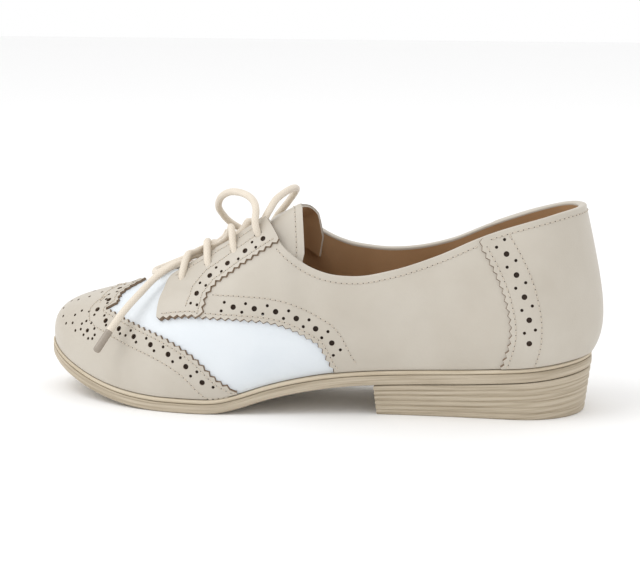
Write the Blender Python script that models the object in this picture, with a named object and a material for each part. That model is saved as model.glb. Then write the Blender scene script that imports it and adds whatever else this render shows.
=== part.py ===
"""Laced wing-tip shoe, left foot: a hollow upper on its last, with overlays, tongue, laces and stacked heel.

The shoe's own frame is in millimetres: a station runs along the foot from the back of the heel to the toe,
y is positive on the outer (lateral) side, and z is the height over the floor.
In the model +X points to the toe, +Y to the outer side and +Z up.
"""

import math
from bisect import bisect

import bmesh
import bpy
import numpy as np
from mathutils import Vector

# Driving dimensions, in millimetres
MM = 0.001
LENGTH = 262.0          # sole, from the back of the heel to the toe
HEEL_CENTRE = 34.0      # station where the round of the heel begins
BALL = 174.0            # station where the round of the toe begins
SOLE = 6.6              # edge of the sole, welt included
WELT = 1.8              # pale strip on top of the sole's edge
WELT_WIDTH = 7.0
WELT_REACH = 2.4        # how far the welt stands out past the upper
WALL = 1.4              # upper with its lining
OVERLAY = 1.0           # one layer of leather sewn over the upper
SEAT = 0.35             # gap between pieces that meet
LAYER_GAP = 0.5         # gap under a piece that bends both ways
HEEL_BREAST = 98.0      # station of the heel's front face
HEEL_TAPER = 2.6        # how much the heel narrows to the floor
HEEL_LIFTS = 6          # layers that show as ribs on the heel's side
RIB_DEPTH = 0.5
INSOLE = 2.6
BULGE_HEIGHT = 20.0     # height of the wall's fullest point over the feather edge
LEAN_HEIGHT = 66.0
TOE_BLUNTNESS = 0.85    # under 1 is a blunt toe
THROAT_FRONT = 198.0    # station where the vamp ends and the tongue begins
THROAT_GAP = 19.0       # half of the opening between the facings
THROAT_OPENS = (120.0, 140.0)   # stations over which the collar turns into the throat
FACING_SETBACK = 1.0    # the sewn-on facing stops this far short of the upper's own edge
TONGUE_FRONT = 204.0
TONGUE_REAR = 140.0     # station of its top edge at the middle
TONGUE_HALF = 24.0
TONGUE_TOP_HALF = 32.5  # half width at the top on the outer side, where the shoe is wider
TONGUE_SWEEP = 10.0     # how far back its top edge runs on the way down to the collar
TONGUE_THICK = 1.6
TONGUE_SLACK = 1.2      # how much further it stands off the facings at their top
TONGUE_SLACK_OVER = (165.0, 145.0)
TONGUE_FLATNESS = 0.35  # how much of the last's crown the tongue keeps between the facings
TONGUE_ROUND_OVER = (176.0, 196.0)  # stations where the tongue takes up the vamp's crown
TONGUE_CORNER = 3.0     # rounding of its top corners
TOOTH = 1.2             # depth of the pinked edges
LACE = 3.4              # diameter of the round lace
LACE_STEP = 7.0         # spacing of the points along it
EDGE_BREAK = 0.7        # chamfer on the sole's edges
HEEL_SET_IN = 0.3       # how far the heel stands inside the sole's edge
WELT_SET_IN = 0.2
INSOLE_CLEAR = 0.9      # gap from the insole to the lining

# Sections of the last: half widths of the sole, spine offset, height of the ridge over the feather edge,
# roundness of the section, fullness of the two walls and lean of the wall at the collar
SECTION_COLUMNS = (
    "station", "lateral", "medial", "spine", "rise", "power", "full_lateral", "full_medial", "lean",
)
SECTIONS = (
    (0, 31.0, 31.0, 0.0, 150, 2.0, 5.4, 5.4, 2.0),
    (34, 31.0, 31.0, 0.0, 140, 2.0, 4.0, 4.5, 3.0),
    (70, 31.5, 29.0, -0.5, 122, 2.0, 3.5, 5.0, 1.5),
    (100, 33.5, 27.0, -1.0, 106, 2.1, 4.0, 6.5, 0.0),
    (130, 38.5, 29.0, -1.5, 93, 2.2, 4.0, 6.5, 0.0),
    (155, 43.5, 35.0, -2.0, 80, 2.3, 3.0, 4.5, 0.0),
    (174, 46.5, 40.0, -2.0, 69.5, 2.3, 2.0, 2.5, 0.0),
    (192, 47.0, 42.5, -2.4, 59.5, 2.2, 1.5, 1.5, 0.0),
    (212, 46.5, 44.0, -3.2, 50.5, 2.2, 1.5, 1.5, 0.0),
    (235, 44.0, 42.5, -4.2, 46.5, 2.2, 1.2, 1.2, 0.0),
    (262, 41.0, 41.0, -5.0, 45, 2.2, 1.0, 1.0, 0.0),
)

# Underside of the sole: heel seat, arch, flat of the forefoot and toe spring
UNDERSIDE_COLUMNS = ("station", "height")
UNDERSIDE = (
    (0, 21.5), (20, 18.9), (45, 16.8), (98, 14.2), (112, 13.2), (128, 11.0), (148, 6.4), (159, 2.8), (168, 0.6),
    (175, 0.0), (197, 0.0), (206, 0.4), (216, 1.4), (229, 3.8), (242, 7.8), (252, 12.0), (262, 17.8),
)

# Collar: height of the top edge over the feather edge on the two sides
COLLAR_COLUMNS = ("station", "lateral", "medial")
COLLAR = (
    (0, 67.5, 67.5), (10, 67.8, 67.8), (24, 66, 65.5), (50, 59.5, 58.5), (70, 51.5, 51), (90, 45.6, 47.5),
    (108, 43.8, 48.6), (120, 46.4, 52), (130, 52, 58), (143, 65, 71), (152, 80, 86), (174, 130, 130),
)

# Pinked edges, as heights over the feather edge
WING_EDGE_COLUMNS = ("station", "height")
WING_EDGE = ((160, 1.5), (169, 8.6), (178, 17.7), (193, 26.0), (207, 29.6), (221, 31.5))
WING_PEAK = 215.0       # station of the point in the middle of the wing
WING_VALLEY = 223.0     # stations of the two hollows beside it
WING_VALLEY_Y = 20.0
QUARTER_EDGE_COLUMNS = ("station", "height")
QUARTER_EDGE = (
    (114, 0.0), (116, 3.3), (121, 13.9), (127, 19.3), (136, 25.4), (151, 32.2), (168, 37.4), (183, 37.9),
    (198, 35.0),
)
FACING_EDGE_COLUMNS = ("station", "height")
FACING_EDGE = (
    (142, 65.0), (160, 58.5), (171, 52.8), (175.5, 47.0), (176.5, 40.0), (186, 38.8), (196.5, 36.5),
)
FACING_INNER_FRONT = 194.0
COUNTER_EDGE_COLUMNS = ("height", "station")
COUNTER_EDGE = ((0.0, 39.0), (14.6, 34.5), (32.4, 37.0), (45.5, 42.0), (59.5, 49.0))

# Routes of the lace, as points of the shoe's frame: the crossed bars, then the loops and the end
LACE_BARS = (
    (
        (189.5, -28, 64.7), (188.5, -22, 67.8), (185.5, -12, 69.1), (183.5, -4, 69.7), (182, 4, 70.9),
        (180.5, 12, 72.4), (178.8, 18.5, 75.8), (177.5, 24, 74.9),
    ),
    (
        (189.5, 24, 66.4), (188.3, 18.5, 69.6), (186.5, 12, 68.5), (185, 4, 69.0), (183.4, -4, 69.6),
        (181.5, -12, 70.1), (179.5, -20, 72.4), (178.3, -24, 74.4), (177.5, -28, 72.5),
    ),
    (
        (165.5, 24, 81.8), (166.9, 19, 83.8), (169.5, 13, 78.8), (173.5, 7, 75.0), (178.5, 2, 72.4),
        (183.1, -3, 69.8),
    ),
    (
        (165.5, -28, 78.5), (167.5, -22.8, 80.2), (170, -17, 76.6), (174.5, -11, 73.6), (178.5, -7, 71.8),
        (183.1, -4, 69.8),
    ),
)
LACE_CORDS = {
    "lace_loop_front": (
        (189, -7, 66.6), (192.5, -10.5, 64.8), (196.4, -13.5, 63.2), (201.2, -14.8, 61.0), (205.2, -12.5, 59.4),
        (208, -8, 58.6), (209.2, -2, 58.4), (208, 4, 58.3), (205.2, 8.5, 59.2), (201.2, 10.8, 61.6),
        (196.4, 9.8, 64.2), (192.5, 6.8, 66.0), (189, 3.5, 67.2),
    ),
    "lace_end_outer": (
        (190.5, 11, 65.7), (196.5, 16, 63.7), (203, 21, 59.4), (209, 26.4, 52.8), (215, 32, 45.6), (220.5, 37.2, 37.4),
        (226, 42.6, 28.0),
    ),
    "lace_arch_rear": (
        (149, 16.8, 92.4), (147, 12, 96.4), (144, 4, 99.0), (142, -4, 99.7), (142, -11, 98.4), (144.5, -17, 95.0),
        (148.6, -22.2, 90.0), (151.4, -24.8, 86.2),
    ),
    "lace_arch_front": (
        (174.8, -27.1, 75.2), (180, -24.5, 80.6), (182, -18, 86.5), (180, -11, 91.5), (176, -4, 95.6), (170, 3, 98.2),
        (162, 10, 98.0), (156.4, 16.5, 95.4), (154.4, 21.8, 91.6), (154.6, 25.2, 87.4),
    ),
    "lace_sweep_inner": (
        (154.5, -29, 83.4), (158.5, -33, 77.8), (164.5, -34.5, 69.2), (171.5, -35, 62.4), (177.5, -33.5, 62.7),
        (182, -29.5, 68.7), (184.5, -23.2, 69.7),
    ),
}

HEEL_TURN = 0.165       # shares of the way round from heel to toe
BALL_TURN = 0.63

BEIGE = (0.665, 0.605, 0.525, 1.0)
WHITE = (0.840, 0.880, 0.915, 1.0)
TAN = (0.545, 0.440, 0.300, 1.0)
PALE_TAN = (0.745, 0.655, 0.520, 1.0)
CREAM = (0.800, 0.715, 0.590, 1.0)


class Profile:
    """A smooth curve through two columns of a table."""

    def __init__(self, columns, rows, value, along=None):
        key = columns.index(along) if along else 0
        self.x = [float(row[key]) for row in rows]
        self.y = [float(row[columns.index(value)]) for row in rows]
        self.slope = [float(v) for v in np.gradient(self.y, self.x)]

    def __call__(self, x):
        i = min(max(bisect(self.x, x) - 1, 0), len(self.x) - 2)
        step = self.x[i + 1] - self.x[i]
        t = min(max((x - self.x[i]) / step, 0.0), 1.0)
        rise = self.y[i + 1] - self.y[i]
        start = self.slope[i] * step
        end = self.slope[i + 1] * step
        return self.y[i] + t * (start + t * (3 * rise - 2 * start - end + t * (start + end - 2 * rise)))


SECTION = {name: Profile(SECTION_COLUMNS, SECTIONS, name) for name in SECTION_COLUMNS[1:]}
UNDER = Profile(UNDERSIDE_COLUMNS, UNDERSIDE, "height")
COLLAR_HEIGHT = {1: Profile(COLLAR_COLUMNS, COLLAR, "lateral"), -1: Profile(COLLAR_COLUMNS, COLLAR, "medial")}
WING_HEIGHT = Profile(WING_EDGE_COLUMNS, WING_EDGE, "height")
QUARTER_HEIGHT = Profile(QUARTER_EDGE_COLUMNS, QUARTER_EDGE, "height")
COUNTER_STATION = Profile(COUNTER_EDGE_COLUMNS, COUNTER_EDGE, "station")


def smooth_step(low, high, x):
    """0 below low, 1 above high, and smooth between."""
    t = min(max((x - low) / (high - low), 0.0), 1.0)
    return t * t * (3 - 2 * t)


def underside(station):
    """Height of the sole's underside, which is on the floor under the forefoot."""
    return max(UNDER(station), 0.0)


def feather(station):
    """Height of the sole's top, where the upper meets it."""
    return underside(station) + SOLE


def closing(station, inset=0.0):
    """Share of the full width left where the outline rounds off at the toe and at the heel."""
    toe = max(station - BALL, 0.0) / (LENGTH - inset - BALL)
    heel = max(HEEL_CENTRE - station, 0.0) / (HEEL_CENTRE - inset)
    return math.sqrt(max(1 - toe * toe, 0.0)), math.sqrt(max(1 - heel * heel, 0.0))


def half_width(side, station, inset=0.0):
    """Distance from the spine to the outline, drawn in by inset."""
    toe, heel = closing(station, inset)
    return max(SECTION["lateral" if side > 0 else "medial"](station) - inset, 0.0) * toe * heel


def section_point(side, station, angle):
    """Outside of the upper at a station, from angle 0 at the feather edge to a right angle at the ridge."""
    toe, heel = closing(station, WELT_REACH)
    bend = 2 / SECTION["power"](station)
    across = half_width(side, station, WELT_REACH) * max(math.cos(angle), 0.0) ** bend
    rise = SECTION["rise"](station) * toe ** TOE_BLUNTNESS * heel * math.sin(angle) ** bend
    full = SECTION["full_lateral" if side > 0 else "full_medial"](station)
    out = full * rise / BULGE_HEIGHT * math.exp(1 - rise / BULGE_HEIGHT)
    out -= SECTION["lean"](station) * (rise / LEAN_HEIGHT) ** 2
    ahead = max(station - BALL, 0.0) + min(station - HEEL_CENTRE, 0.0)
    reach = math.hypot(ahead, across) + 1e-9
    return Vector((
        station + ahead / reach * out,
        SECTION["spine"](station) + side * across * (1 + out / reach),
        feather(station) + SEAT + rise,
    ))


def angle_at_height(side, station, height):
    """Section angle where the wall stands at a height over the feather edge."""
    toe, heel = closing(station, WELT_REACH)
    rise = SECTION["rise"](station) * toe ** TOE_BLUNTNESS * heel
    share = min(max(height / max(rise, 1e-6), 0.0), 1.0)
    return math.asin(share ** (SECTION["power"](station) / 2))


def angle_at_gap(side, station, gap):
    """Section angle where the wall comes within a distance of the spine."""
    share = min(gap / max(half_width(side, station, WELT_REACH), 1e-6), 1.0)
    return math.acos(share ** (SECTION["power"](station) / 2))


def spot(turn, climb):
    """Side, station and angle for a way round (0 heel, 1 toe, medial negative) and a climb up the wall."""
    turn = (turn + 1) % 2 - 1
    side = 1 if turn >= 0 else -1
    way = abs(turn)
    lift = climb * math.pi / 2
    toe_end = LENGTH - WELT_REACH
    if HEEL_TURN <= way <= BALL_TURN:
        share = (way - HEEL_TURN) / (BALL_TURN - HEEL_TURN)
        return side, HEEL_CENTRE + share * (BALL - HEEL_CENTRE), lift
    at_toe = way > BALL_TURN
    sweep = (1 - way) / (1 - BALL_TURN) if at_toe else way / HEEL_TURN
    sweep *= math.pi / 2
    tilt = math.cos(lift) * math.cos(sweep)
    angle = math.atan2(math.sin(lift), math.cos(lift) * math.sin(sweep))
    if at_toe:
        return side, BALL + (toe_end - BALL) * tilt, angle
    return side, HEEL_CENTRE - (HEEL_CENTRE - WELT_REACH) * tilt, angle


def turn_and_climb(side, station, angle):
    """The way round and the climb of a place on the last: the reverse of spot."""
    if HEEL_CENTRE <= station <= BALL:
        share = (station - HEEL_CENTRE) / (BALL - HEEL_CENTRE)
        return side * (HEEL_TURN + share * (BALL_TURN - HEEL_TURN)), angle / (math.pi / 2)
    at_toe = station > BALL
    reach = LENGTH - WELT_REACH - BALL if at_toe else HEEL_CENTRE - WELT_REACH
    tilt = min(abs(station - (BALL if at_toe else HEEL_CENTRE)) / reach, 1.0)
    level = math.sqrt(1 - tilt * tilt)
    sweep = math.atan2(level * math.cos(angle), tilt) / (math.pi / 2)
    climb = math.asin(min(level * math.sin(angle), 1.0)) / (math.pi / 2)
    way = 1 - sweep * (1 - BALL_TURN) if at_toe else sweep * HEEL_TURN
    return side * way, climb


def wall_point(turn, climb, offset):
    """A point on the last at a way round and a climb, moved out along the wall's normal."""
    step = 2e-3
    low = max(climb - step, 0.0)
    here = section_point(*spot(turn, climb))
    along = section_point(*spot(turn + step, climb)) - section_point(*spot(turn - step, climb))
    up = section_point(*spot(turn, low + 2 * step)) - section_point(*spot(turn, low))
    point = here + up.cross(along).normalized() * offset
    point.z = max(point.z, feather(min(max(point.x, 0.0), LENGTH)) + SEAT)
    return point


def beyond_top(side, station, angle, gap, front):
    """True past the top edge: over the collar, or inside the throat of the given half gap and front."""
    point = section_point(side, station, angle)
    aside = abs(point.y - SECTION["spine"](station))
    if station > BALL:
        return ((station - BALL) / (front - BALL)) ** 3 + (aside / gap) ** 3 < 1
    open_gap = gap * smooth_step(*THROAT_OPENS, station)
    return point.z - feather(station) > COLLAR_HEIGHT[side](station) or aside < open_gap


def top_climb(turn, gap=THROAT_GAP, front=THROAT_FRONT):
    """Climb at which the wall ends at the collar or the throat."""
    low, high = 0.0, 1.0
    for _ in range(26):
        middle = (low + high) / 2
        if beyond_top(*spot(turn, middle), gap, front):
            high = middle
        else:
            low = middle
    return low


def middle_of_box():
    """Station and y of the middle of the shoe's box, which is the model's origin."""
    back = min(wall_point(0.0, k / 40, OVERLAY * 2 + LAYER_GAP * 2).x for k in range(20))
    stations = np.linspace(HEEL_CENTRE, LENGTH, 120)
    outer = max(SECTION["spine"](s) + half_width(1, s) for s in stations)
    inner = min(SECTION["spine"](s) - half_width(-1, s) for s in stations)
    return (back + LENGTH) / 2, (outer + inner) / 2


MIDDLE_STATION, MIDDLE_Y = middle_of_box()


def place(point):
    """Turn a point of the shoe's frame into the model's metres."""
    return Vector(((point[0] - MIDDLE_STATION) * MM, (point[1] - MIDDLE_Y) * MM, point[2] * MM))


def clear_scene():
    """Remove what the scene holds."""
    for item in list(bpy.data.objects):
        bpy.data.objects.remove(item, do_unlink=True)


def finish(name, bm, colour, roughness):
    """Close a bmesh into a named object with its material."""
    bmesh.ops.remove_doubles(bm, verts=bm.verts[:], dist=1e-6)
    bmesh.ops.recalc_face_normals(bm, faces=bm.faces[:])
    mesh = bpy.data.meshes.new(name)
    bm.to_mesh(mesh)
    bm.free()
    mesh.shade_smooth()
    mesh.set_sharp_from_angle(angle=math.radians(40))
    return add_object(name, mesh, colour, roughness)


def add_object(name, data, colour, roughness):
    """Link an object and give it a Principled material."""
    item = bpy.data.objects.new(name, data)
    bpy.context.collection.objects.link(item)
    material = bpy.data.materials.new(name)
    material.use_nodes = True
    shader = material.node_tree.nodes["Principled BSDF"]
    shader.inputs["Base Color"].default_value = colour
    shader.inputs["Roughness"].default_value = roughness
    data.materials.append(material)
    return item


def layered_grid(columns, rows, layers):
    """A flat unit sheet, extruded upwards one unit at a time into a block of layers."""
    bm = bmesh.new()
    bmesh.ops.create_grid(bm, x_segments=columns, y_segments=rows, size=0.5)
    cap = bm.faces[:]
    for layer in range(layers):
        grown = bmesh.ops.extrude_face_region(bm, geom=cap, use_keep_orig=True)
        if layer > 0:
            bmesh.ops.delete(bm, geom=cap, context="FACES")
        cap = [part for part in grown["geom"] if isinstance(part, bmesh.types.BMFace)]
        lifted = [part for part in grown["geom"] if isinstance(part, bmesh.types.BMVert)]
        bmesh.ops.translate(bm, verts=lifted, vec=(0, 0, 1))
    bmesh.ops.translate(bm, verts=bm.verts[:], vec=(0.5, 0.5, 0))
    return bm


def open_ends(bm):
    """Take off the two end faces of a block, so that it can close on itself as a ring."""
    def at_end(face):
        along = [vertex.co.x for vertex in face.verts]
        return max(along) < 1e-6 or min(along) > 1 - 1e-6

    bmesh.ops.delete(bm, geom=[face for face in bm.faces if at_end(face)], context="FACES")


def cut_teeth(bm, side, first, last):
    """Split the edges of one side of the sheet, at y 0 or 1, and mark each new point as a tooth's tip."""
    def on_edge(vertex):
        return abs(vertex.co.y - side) < 1e-6 and first - 1e-6 < vertex.co.x < last + 1e-6

    edges = [e for e in bm.edges if all(on_edge(v) for v in e.verts) and e.verts[0].co.z == e.verts[1].co.z]
    split = bmesh.ops.subdivide_edges(bm, edges=edges, cuts=1)
    for part in split["geom_inner"]:
        if isinstance(part, bmesh.types.BMVert):
            part.co.y = 1 + TOOTH if side else -TOOTH


def panel(name, columns, rows, where, layers, colour, roughness, teeth=(), ring=False):
    """A sheet laid on the last between two offsets; where gives a point's way round and climb."""
    bm = layered_grid(columns, rows, 1)
    for row in teeth:
        cut_teeth(bm, *row)
    if ring:
        open_ends(bm)
    for vertex in bm.verts:
        a, b, layer = vertex.co
        offset = layers[1] if layer > 0.5 else layers[0]
        edge = min(max(b, 0.0), 1.0)
        past = abs(b - edge)
        turn, climb = where(a, edge)
        if past > 1e-6:
            inner_turn, inner_climb = where(a, 0.95 if b > 1 else 0.05)
            reach = (wall_point(turn, climb, offset) - wall_point(inner_turn, inner_climb, offset)).length
            turn += (turn - inner_turn) * past / reach
            climb += (climb - inner_climb) * past / reach
        vertex.co = place(wall_point(turn, climb, offset))
    return finish(name, bm, colour, roughness)


def make_upper():
    """The one hollow upper, open at the collar, the throat and underneath."""
    def where(a, b):
        turn = 2 * a - 1
        return turn, b * top_climb(turn)

    panel("upper", 72, 7, where, (-WALL, 0.0), WHITE, 0.35, ring=True)


def wing_climb(turn):
    """Climb of the wing's pinked edge: along the sides, then two hollows and a point over the toe."""
    low, high = 0.0, 1.0
    for _ in range(26):
        middle = (low + high) / 2
        side, station, angle = spot(turn, middle)
        point = section_point(side, station, angle)
        aside = abs(point.y - SECTION["spine"](station))
        dip = WING_VALLEY - (WING_VALLEY - WING_PEAK) * smooth_step(WING_VALLEY_Y * 0.75, 0.0, aside)
        height = WING_HEIGHT(station) if aside > WING_VALLEY_Y * 0.8 else 1e3
        past = station < dip if aside <= WING_VALLEY_Y else point.z - feather(station) > height
        if past:
            high = middle
        else:
            low = middle
    return max(low, 0.02)


def make_wing_cap():
    """The toe piece with its wings along the sides and its point over the vamp."""
    end = turn_and_climb(1, WING_EDGE[0][0], 0.0)[0]

    def where(a, b):
        way = end + (1 - end) * (1 - abs(2 * a - 1))
        turn = way if a <= 0.5 else -way
        return turn, b * wing_climb(turn)

    panel("wing_cap", 44, 6, where, (LAYER_GAP, LAYER_GAP + OVERLAY), BEIGE, 0.42, teeth=[(1, 0.0, 1.0)])


def facing_top(side, station):
    """Way round and climb of the sewn-on quarter's top edge at a station."""
    turn = turn_and_climb(side, min(station, BALL), 0.0)[0]
    if station <= BALL:
        return turn, top_climb(turn, THROAT_GAP + FACING_SETBACK)
    return turn_and_climb(side, station, angle_at_gap(side, station, THROAT_GAP + FACING_SETBACK))


def make_quarter(name, side):
    """One quarter: from the back seam to the pointed front of its facing, over the rear of the vamp."""
    first_station = QUARTER_EDGE[0][0]
    front = QUARTER_EDGE[-1][0]
    lag_from = 140.0
    seam = 0.004
    shares = (0.0, 0.5, 0.61, 1.0)

    def where(a, b):
        station = float(np.interp(a, shares, (0.0, first_station - 1, first_station + 8, front)))
        lag = (front - FACING_INNER_FRONT) * smooth_step(lag_from, front, station)
        if station < HEEL_CENTRE:
            turn = side * max(HEEL_TURN * station / HEEL_CENTRE, seam)
            top = turn, top_climb(turn, THROAT_GAP + FACING_SETBACK)
            low = turn, 0.0
        else:
            height = QUARTER_HEIGHT(station) if station > first_station else 0.0
            low = turn_and_climb(side, station, angle_at_height(side, station, height))
            top = facing_top(side, station - lag)
        return top[0] + (low[0] - top[0]) * b, top[1] + (low[1] - top[1]) * b

    panel(name, 34, 7, where, (LAYER_GAP, LAYER_GAP + OVERLAY), BEIGE, 0.42,
          teeth=[(1, shares[2] - 0.01, 1.0)])


def make_facing(name, side):
    """The eyelet facing sewn on the quarter, with a pinked rear edge."""
    rows = FACING_EDGE
    top_station = 150.0
    stations = [row[0] for row in rows]
    heights = [row[1] for row in rows]
    steps = np.concatenate([[0.0], np.cumsum(np.hypot(np.diff(stations), np.diff(heights)))])
    steps /= steps[-1]

    def where(a, b):
        station = float(np.interp(a, steps, stations))
        height = float(np.interp(a, steps, heights))
        rear = turn_and_climb(side, station, angle_at_height(side, station, height))
        inner = facing_top(side, top_station + (FACING_INNER_FRONT - top_station) * a)
        return inner[0] + (rear[0] - inner[0]) * b, inner[1] + (rear[1] - inner[1]) * b

    low = 2 * LAYER_GAP + OVERLAY
    panel(name, 16, 3, where, (low, low + OVERLAY * 0.8), BEIGE, 0.42, teeth=[(1, 0.0, 0.75)])


def make_counter():
    """The heel piece, wrapped round the back from one pinked edge to the other."""
    def where(a, b):
        swing = 2 * a - 1
        side = 1 if swing >= 0 else -1
        climb = b * top_climb(0.0)
        for _ in range(4):
            station_guess = spot(side * HEEL_TURN, climb)
            rise = section_point(*station_guess).z - feather(station_guess[1])
            edge = COUNTER_STATION(min(rise, COUNTER_EDGE[-1][0]))
            turn = swing * abs(turn_and_climb(side, max(edge, HEEL_CENTRE), 0.0)[0])
            climb = b * top_climb(turn)
        return turn, climb

    def turned(a, b):
        return where(b, a)

    low = 2 * LAYER_GAP + OVERLAY
    panel("heel_counter", 7, 24, turned, (low, low + OVERLAY * 0.8), BEIGE, 0.42,
          teeth=[(0, 0.0, 1.0), (1, 0.0, 1.0)])


def facing_edge_height(station, aside):
    """Height of the straight line across the throat from one edge of the opening to the other."""
    ends = [section_point(side, station, angle_at_gap(side, station, THROAT_GAP)).z for side in (-1, 1)]
    return ends[0] + (ends[1] - ends[0]) * (aside + THROAT_GAP) / (2 * THROAT_GAP)


def tongue_point(station, aside, offset):
    """A point of the tongue: under the facings it follows the last, and between them it is flatter."""
    side = 1 if aside >= 0 else -1
    turn, climb = turn_and_climb(side, station, angle_at_gap(side, station, abs(aside)))
    point = wall_point(turn, min(climb, 0.999), offset)
    crown = max(section_point(*spot(turn, climb)).z - facing_edge_height(station, aside), 0.0)
    keep = TONGUE_FLATNESS + (1 - TONGUE_FLATNESS) * smooth_step(*TONGUE_ROUND_OVER, station)
    point.z -= crown * (1 - keep)
    return point


def make_tongue():
    """The tongue, sewn under the vamp in front and free above."""
    bm = layered_grid(12, 10, 1)
    for vertex in bm.verts:
        a, b, layer = vertex.co
        swing = 2 * b - 1
        rear = TONGUE_REAR - TONGUE_SWEEP * abs(swing) ** 1.5 + TONGUE_CORNER * smooth_step(0.92, 1.0, abs(swing))
        station = TONGUE_FRONT + (rear - TONGUE_FRONT) * a
        top_half = TONGUE_TOP_HALF if swing > 0 else TONGUE_HALF
        half = TONGUE_HALF + (top_half - TONGUE_HALF) * smooth_step(0.35, 1.0, a)
        slack = TONGUE_SLACK * smooth_step(*TONGUE_SLACK_OVER, station)
        offset = -(WALL + LAYER_GAP + slack + (TONGUE_THICK if layer < 0.5 else 0.0))
        vertex.co = place(tongue_point(station, half * swing, offset))
    finish("tongue", bm, BEIGE, 0.45)


def sole_stations(first, last, a):
    """Station for a share of the way along a sole piece, closer together where its ends are round."""
    if last < LENGTH - 20:
        return first + (last - first) * (1 - math.cos(a * math.pi / 2)) ** 0.9
    return first + (last - first) * (1 - math.cos(a * math.pi)) / 2


def sole_block(name, columns, rows, levels, span, colour, roughness):
    """A block under the foot: levels are pairs of inset and height, and span the stations it covers."""
    bm = layered_grid(columns, rows, len(levels) - 1)
    for vertex in bm.verts:
        a, b, layer = vertex.co
        inset, height = levels[round(layer)]
        first = max(span[0], inset) if span[0] < 1 else span[0]
        last = LENGTH - inset if span[1] >= LENGTH else span[1] - inset * 0.5
        station = sole_stations(first, last, a)
        swing = 2 * b - 1
        side = 1 if swing >= 0 else -1
        aside = swing * half_width(side, station, inset)
        vertex.co = place((station, SECTION["spine"](station) + aside, height(station)))
    return finish(name, bm, colour, roughness)


def make_outsole():
    """The sole slab under the welt, with its arch and toe spring and a groove under its top edge."""
    top = -(WELT + LAYER_GAP)
    levels = (
        (EDGE_BREAK, underside),
        (0.0, lambda s: underside(s) + EDGE_BREAK),
        (0.0, lambda s: feather(s) + top - EDGE_BREAK),
        (EDGE_BREAK, lambda s: feather(s) + top),
    )
    sole_block("outsole", 36, 2, levels, (0.0, LENGTH), TAN, 0.55)


def make_heel():
    """The heel block: lifts that show as ribs, narrowing a little to the floor."""
    levels = [(HEEL_TAPER + HEEL_SET_IN, lambda s: 0.0)]
    for lift in range(HEEL_LIFTS):
        for share, groove in ((0.8, 0.0), (1.0, RIB_DEPTH)):
            up = (lift + share) / HEEL_LIFTS
            inset = HEEL_TAPER * (1 - up) + groove + HEEL_SET_IN
            levels.append((inset, lambda s, up=up: up * (underside(s) - SEAT)))
    sole_block("heel", 14, 4, levels, (0.0, HEEL_BREAST), TAN, 0.55)


def make_insole():
    """The insole inside the upper, on the sole."""
    inset = WELT_REACH + WALL + INSOLE_CLEAR
    levels = (
        (inset, lambda s: feather(s) + SEAT),
        (inset, lambda s: feather(s) + SEAT + INSOLE),
    )
    sole_block("insole", 26, 2, levels, (0.0, LENGTH), PALE_TAN, 0.6)


def make_welt():
    """The pale strip all round on top of the sole's edge."""
    bm = layered_grid(72, 1, 1)
    open_ends(bm)
    for vertex in bm.verts:
        a, b, layer = vertex.co
        inset = WELT_SET_IN + WELT_WIDTH * b
        side = 1 if a >= 0.5 else -1
        way = abs(2 * a - 1)
        station = sole_stations(inset, LENGTH - inset, way)
        height = feather(station) - (0.0 if layer > 0.5 else WELT)
        aside = side * half_width(side, station, inset)
        vertex.co = place((station, SECTION["spine"](station) + aside, height))
    finish("welt", bm, PALE_TAN, 0.5)


def smooth_route(points, spacing):
    """Points at about an even spacing on a smooth curve through a route."""
    knots = [Vector(point) for point in points]
    knots = [2 * knots[0] - knots[1]] + knots + [2 * knots[-1] - knots[-2]]
    route = []
    for before, start, end, after in zip(knots, knots[1:], knots[2:], knots[3:]):
        steps = max(round((end - start).length / spacing), 1)
        for step in range(steps):
            t = step / steps
            bend = 2 * before - 5 * start + 4 * end - after
            twist = 3 * start - before - 3 * end + after
            route.append(start + 0.5 * t * (end - before + t * (bend + t * twist)))
    return route + [knots[-2]]


def lace_curve(name, points):
    """A round lace along a route, as a curve with filled ends."""
    route = smooth_route(points, LACE_STEP)
    curve = bpy.data.curves.new(name, "CURVE")
    curve.dimensions = "3D"
    curve.bevel_depth = LACE / 2 * MM
    curve.bevel_resolution = 2
    curve.use_fill_caps = True
    spline = curve.splines.new("POLY")
    spline.points.add(len(route) - 1)
    for knot, point in zip(spline.points, route):
        knot.co = (*place(point), 1.0)
    return add_object(name, curve, CREAM, 0.7)


def make_lace_bars():
    """The crossed bars of the lace, joined where they cross."""
    tubes = []
    for number, points in enumerate(LACE_BARS):
        tube = lace_curve(f"bar_{number}", points)
        mesh = bpy.data.meshes.new_from_object(tube)
        bpy.data.objects.remove(tube, do_unlink=True)
        bm = bmesh.new()
        bm.from_mesh(mesh)
        tubes.append(finish("lace_bars" if number == 0 else f"bar_{number}", bm, CREAM, 0.7))
    for tube in tubes[1:]:
        tube.hide_render = True
        tube.display_type = "WIRE"
        joint = tubes[0].modifiers.new(tube.name, "BOOLEAN")
        joint.operation = "UNION"
        joint.object = tube


def main():
    """Build every piece."""
    clear_scene()
    make_outsole()
    make_heel()
    make_welt()
    make_insole()
    make_upper()
    make_tongue()
    make_wing_cap()
    make_quarter("quarter_lateral", 1)
    make_quarter("quarter_medial", -1)
    make_facing("facing_lateral", 1)
    make_facing("facing_medial", -1)
    make_counter()
    make_lace_bars()
    for name, points in LACE_CORDS.items():
        lace_curve(name, points)


main()
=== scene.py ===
"""Looks of a laced wing-tip shoe for a left foot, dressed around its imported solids.

The shoe's own frame is in millimetres: a station runs along the foot from the back of the heel to the toe,
y is positive on the outer side and z is the height over the floor. place() turns it into the model's metres.
"""

import logging
import math
from bisect import bisect
from dataclasses import dataclass, field
from enum import Enum
from typing import Any, Callable, Iterable, Sequence

import bmesh
import bpy
import numpy as np
from mathutils import Matrix, Vector


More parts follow.
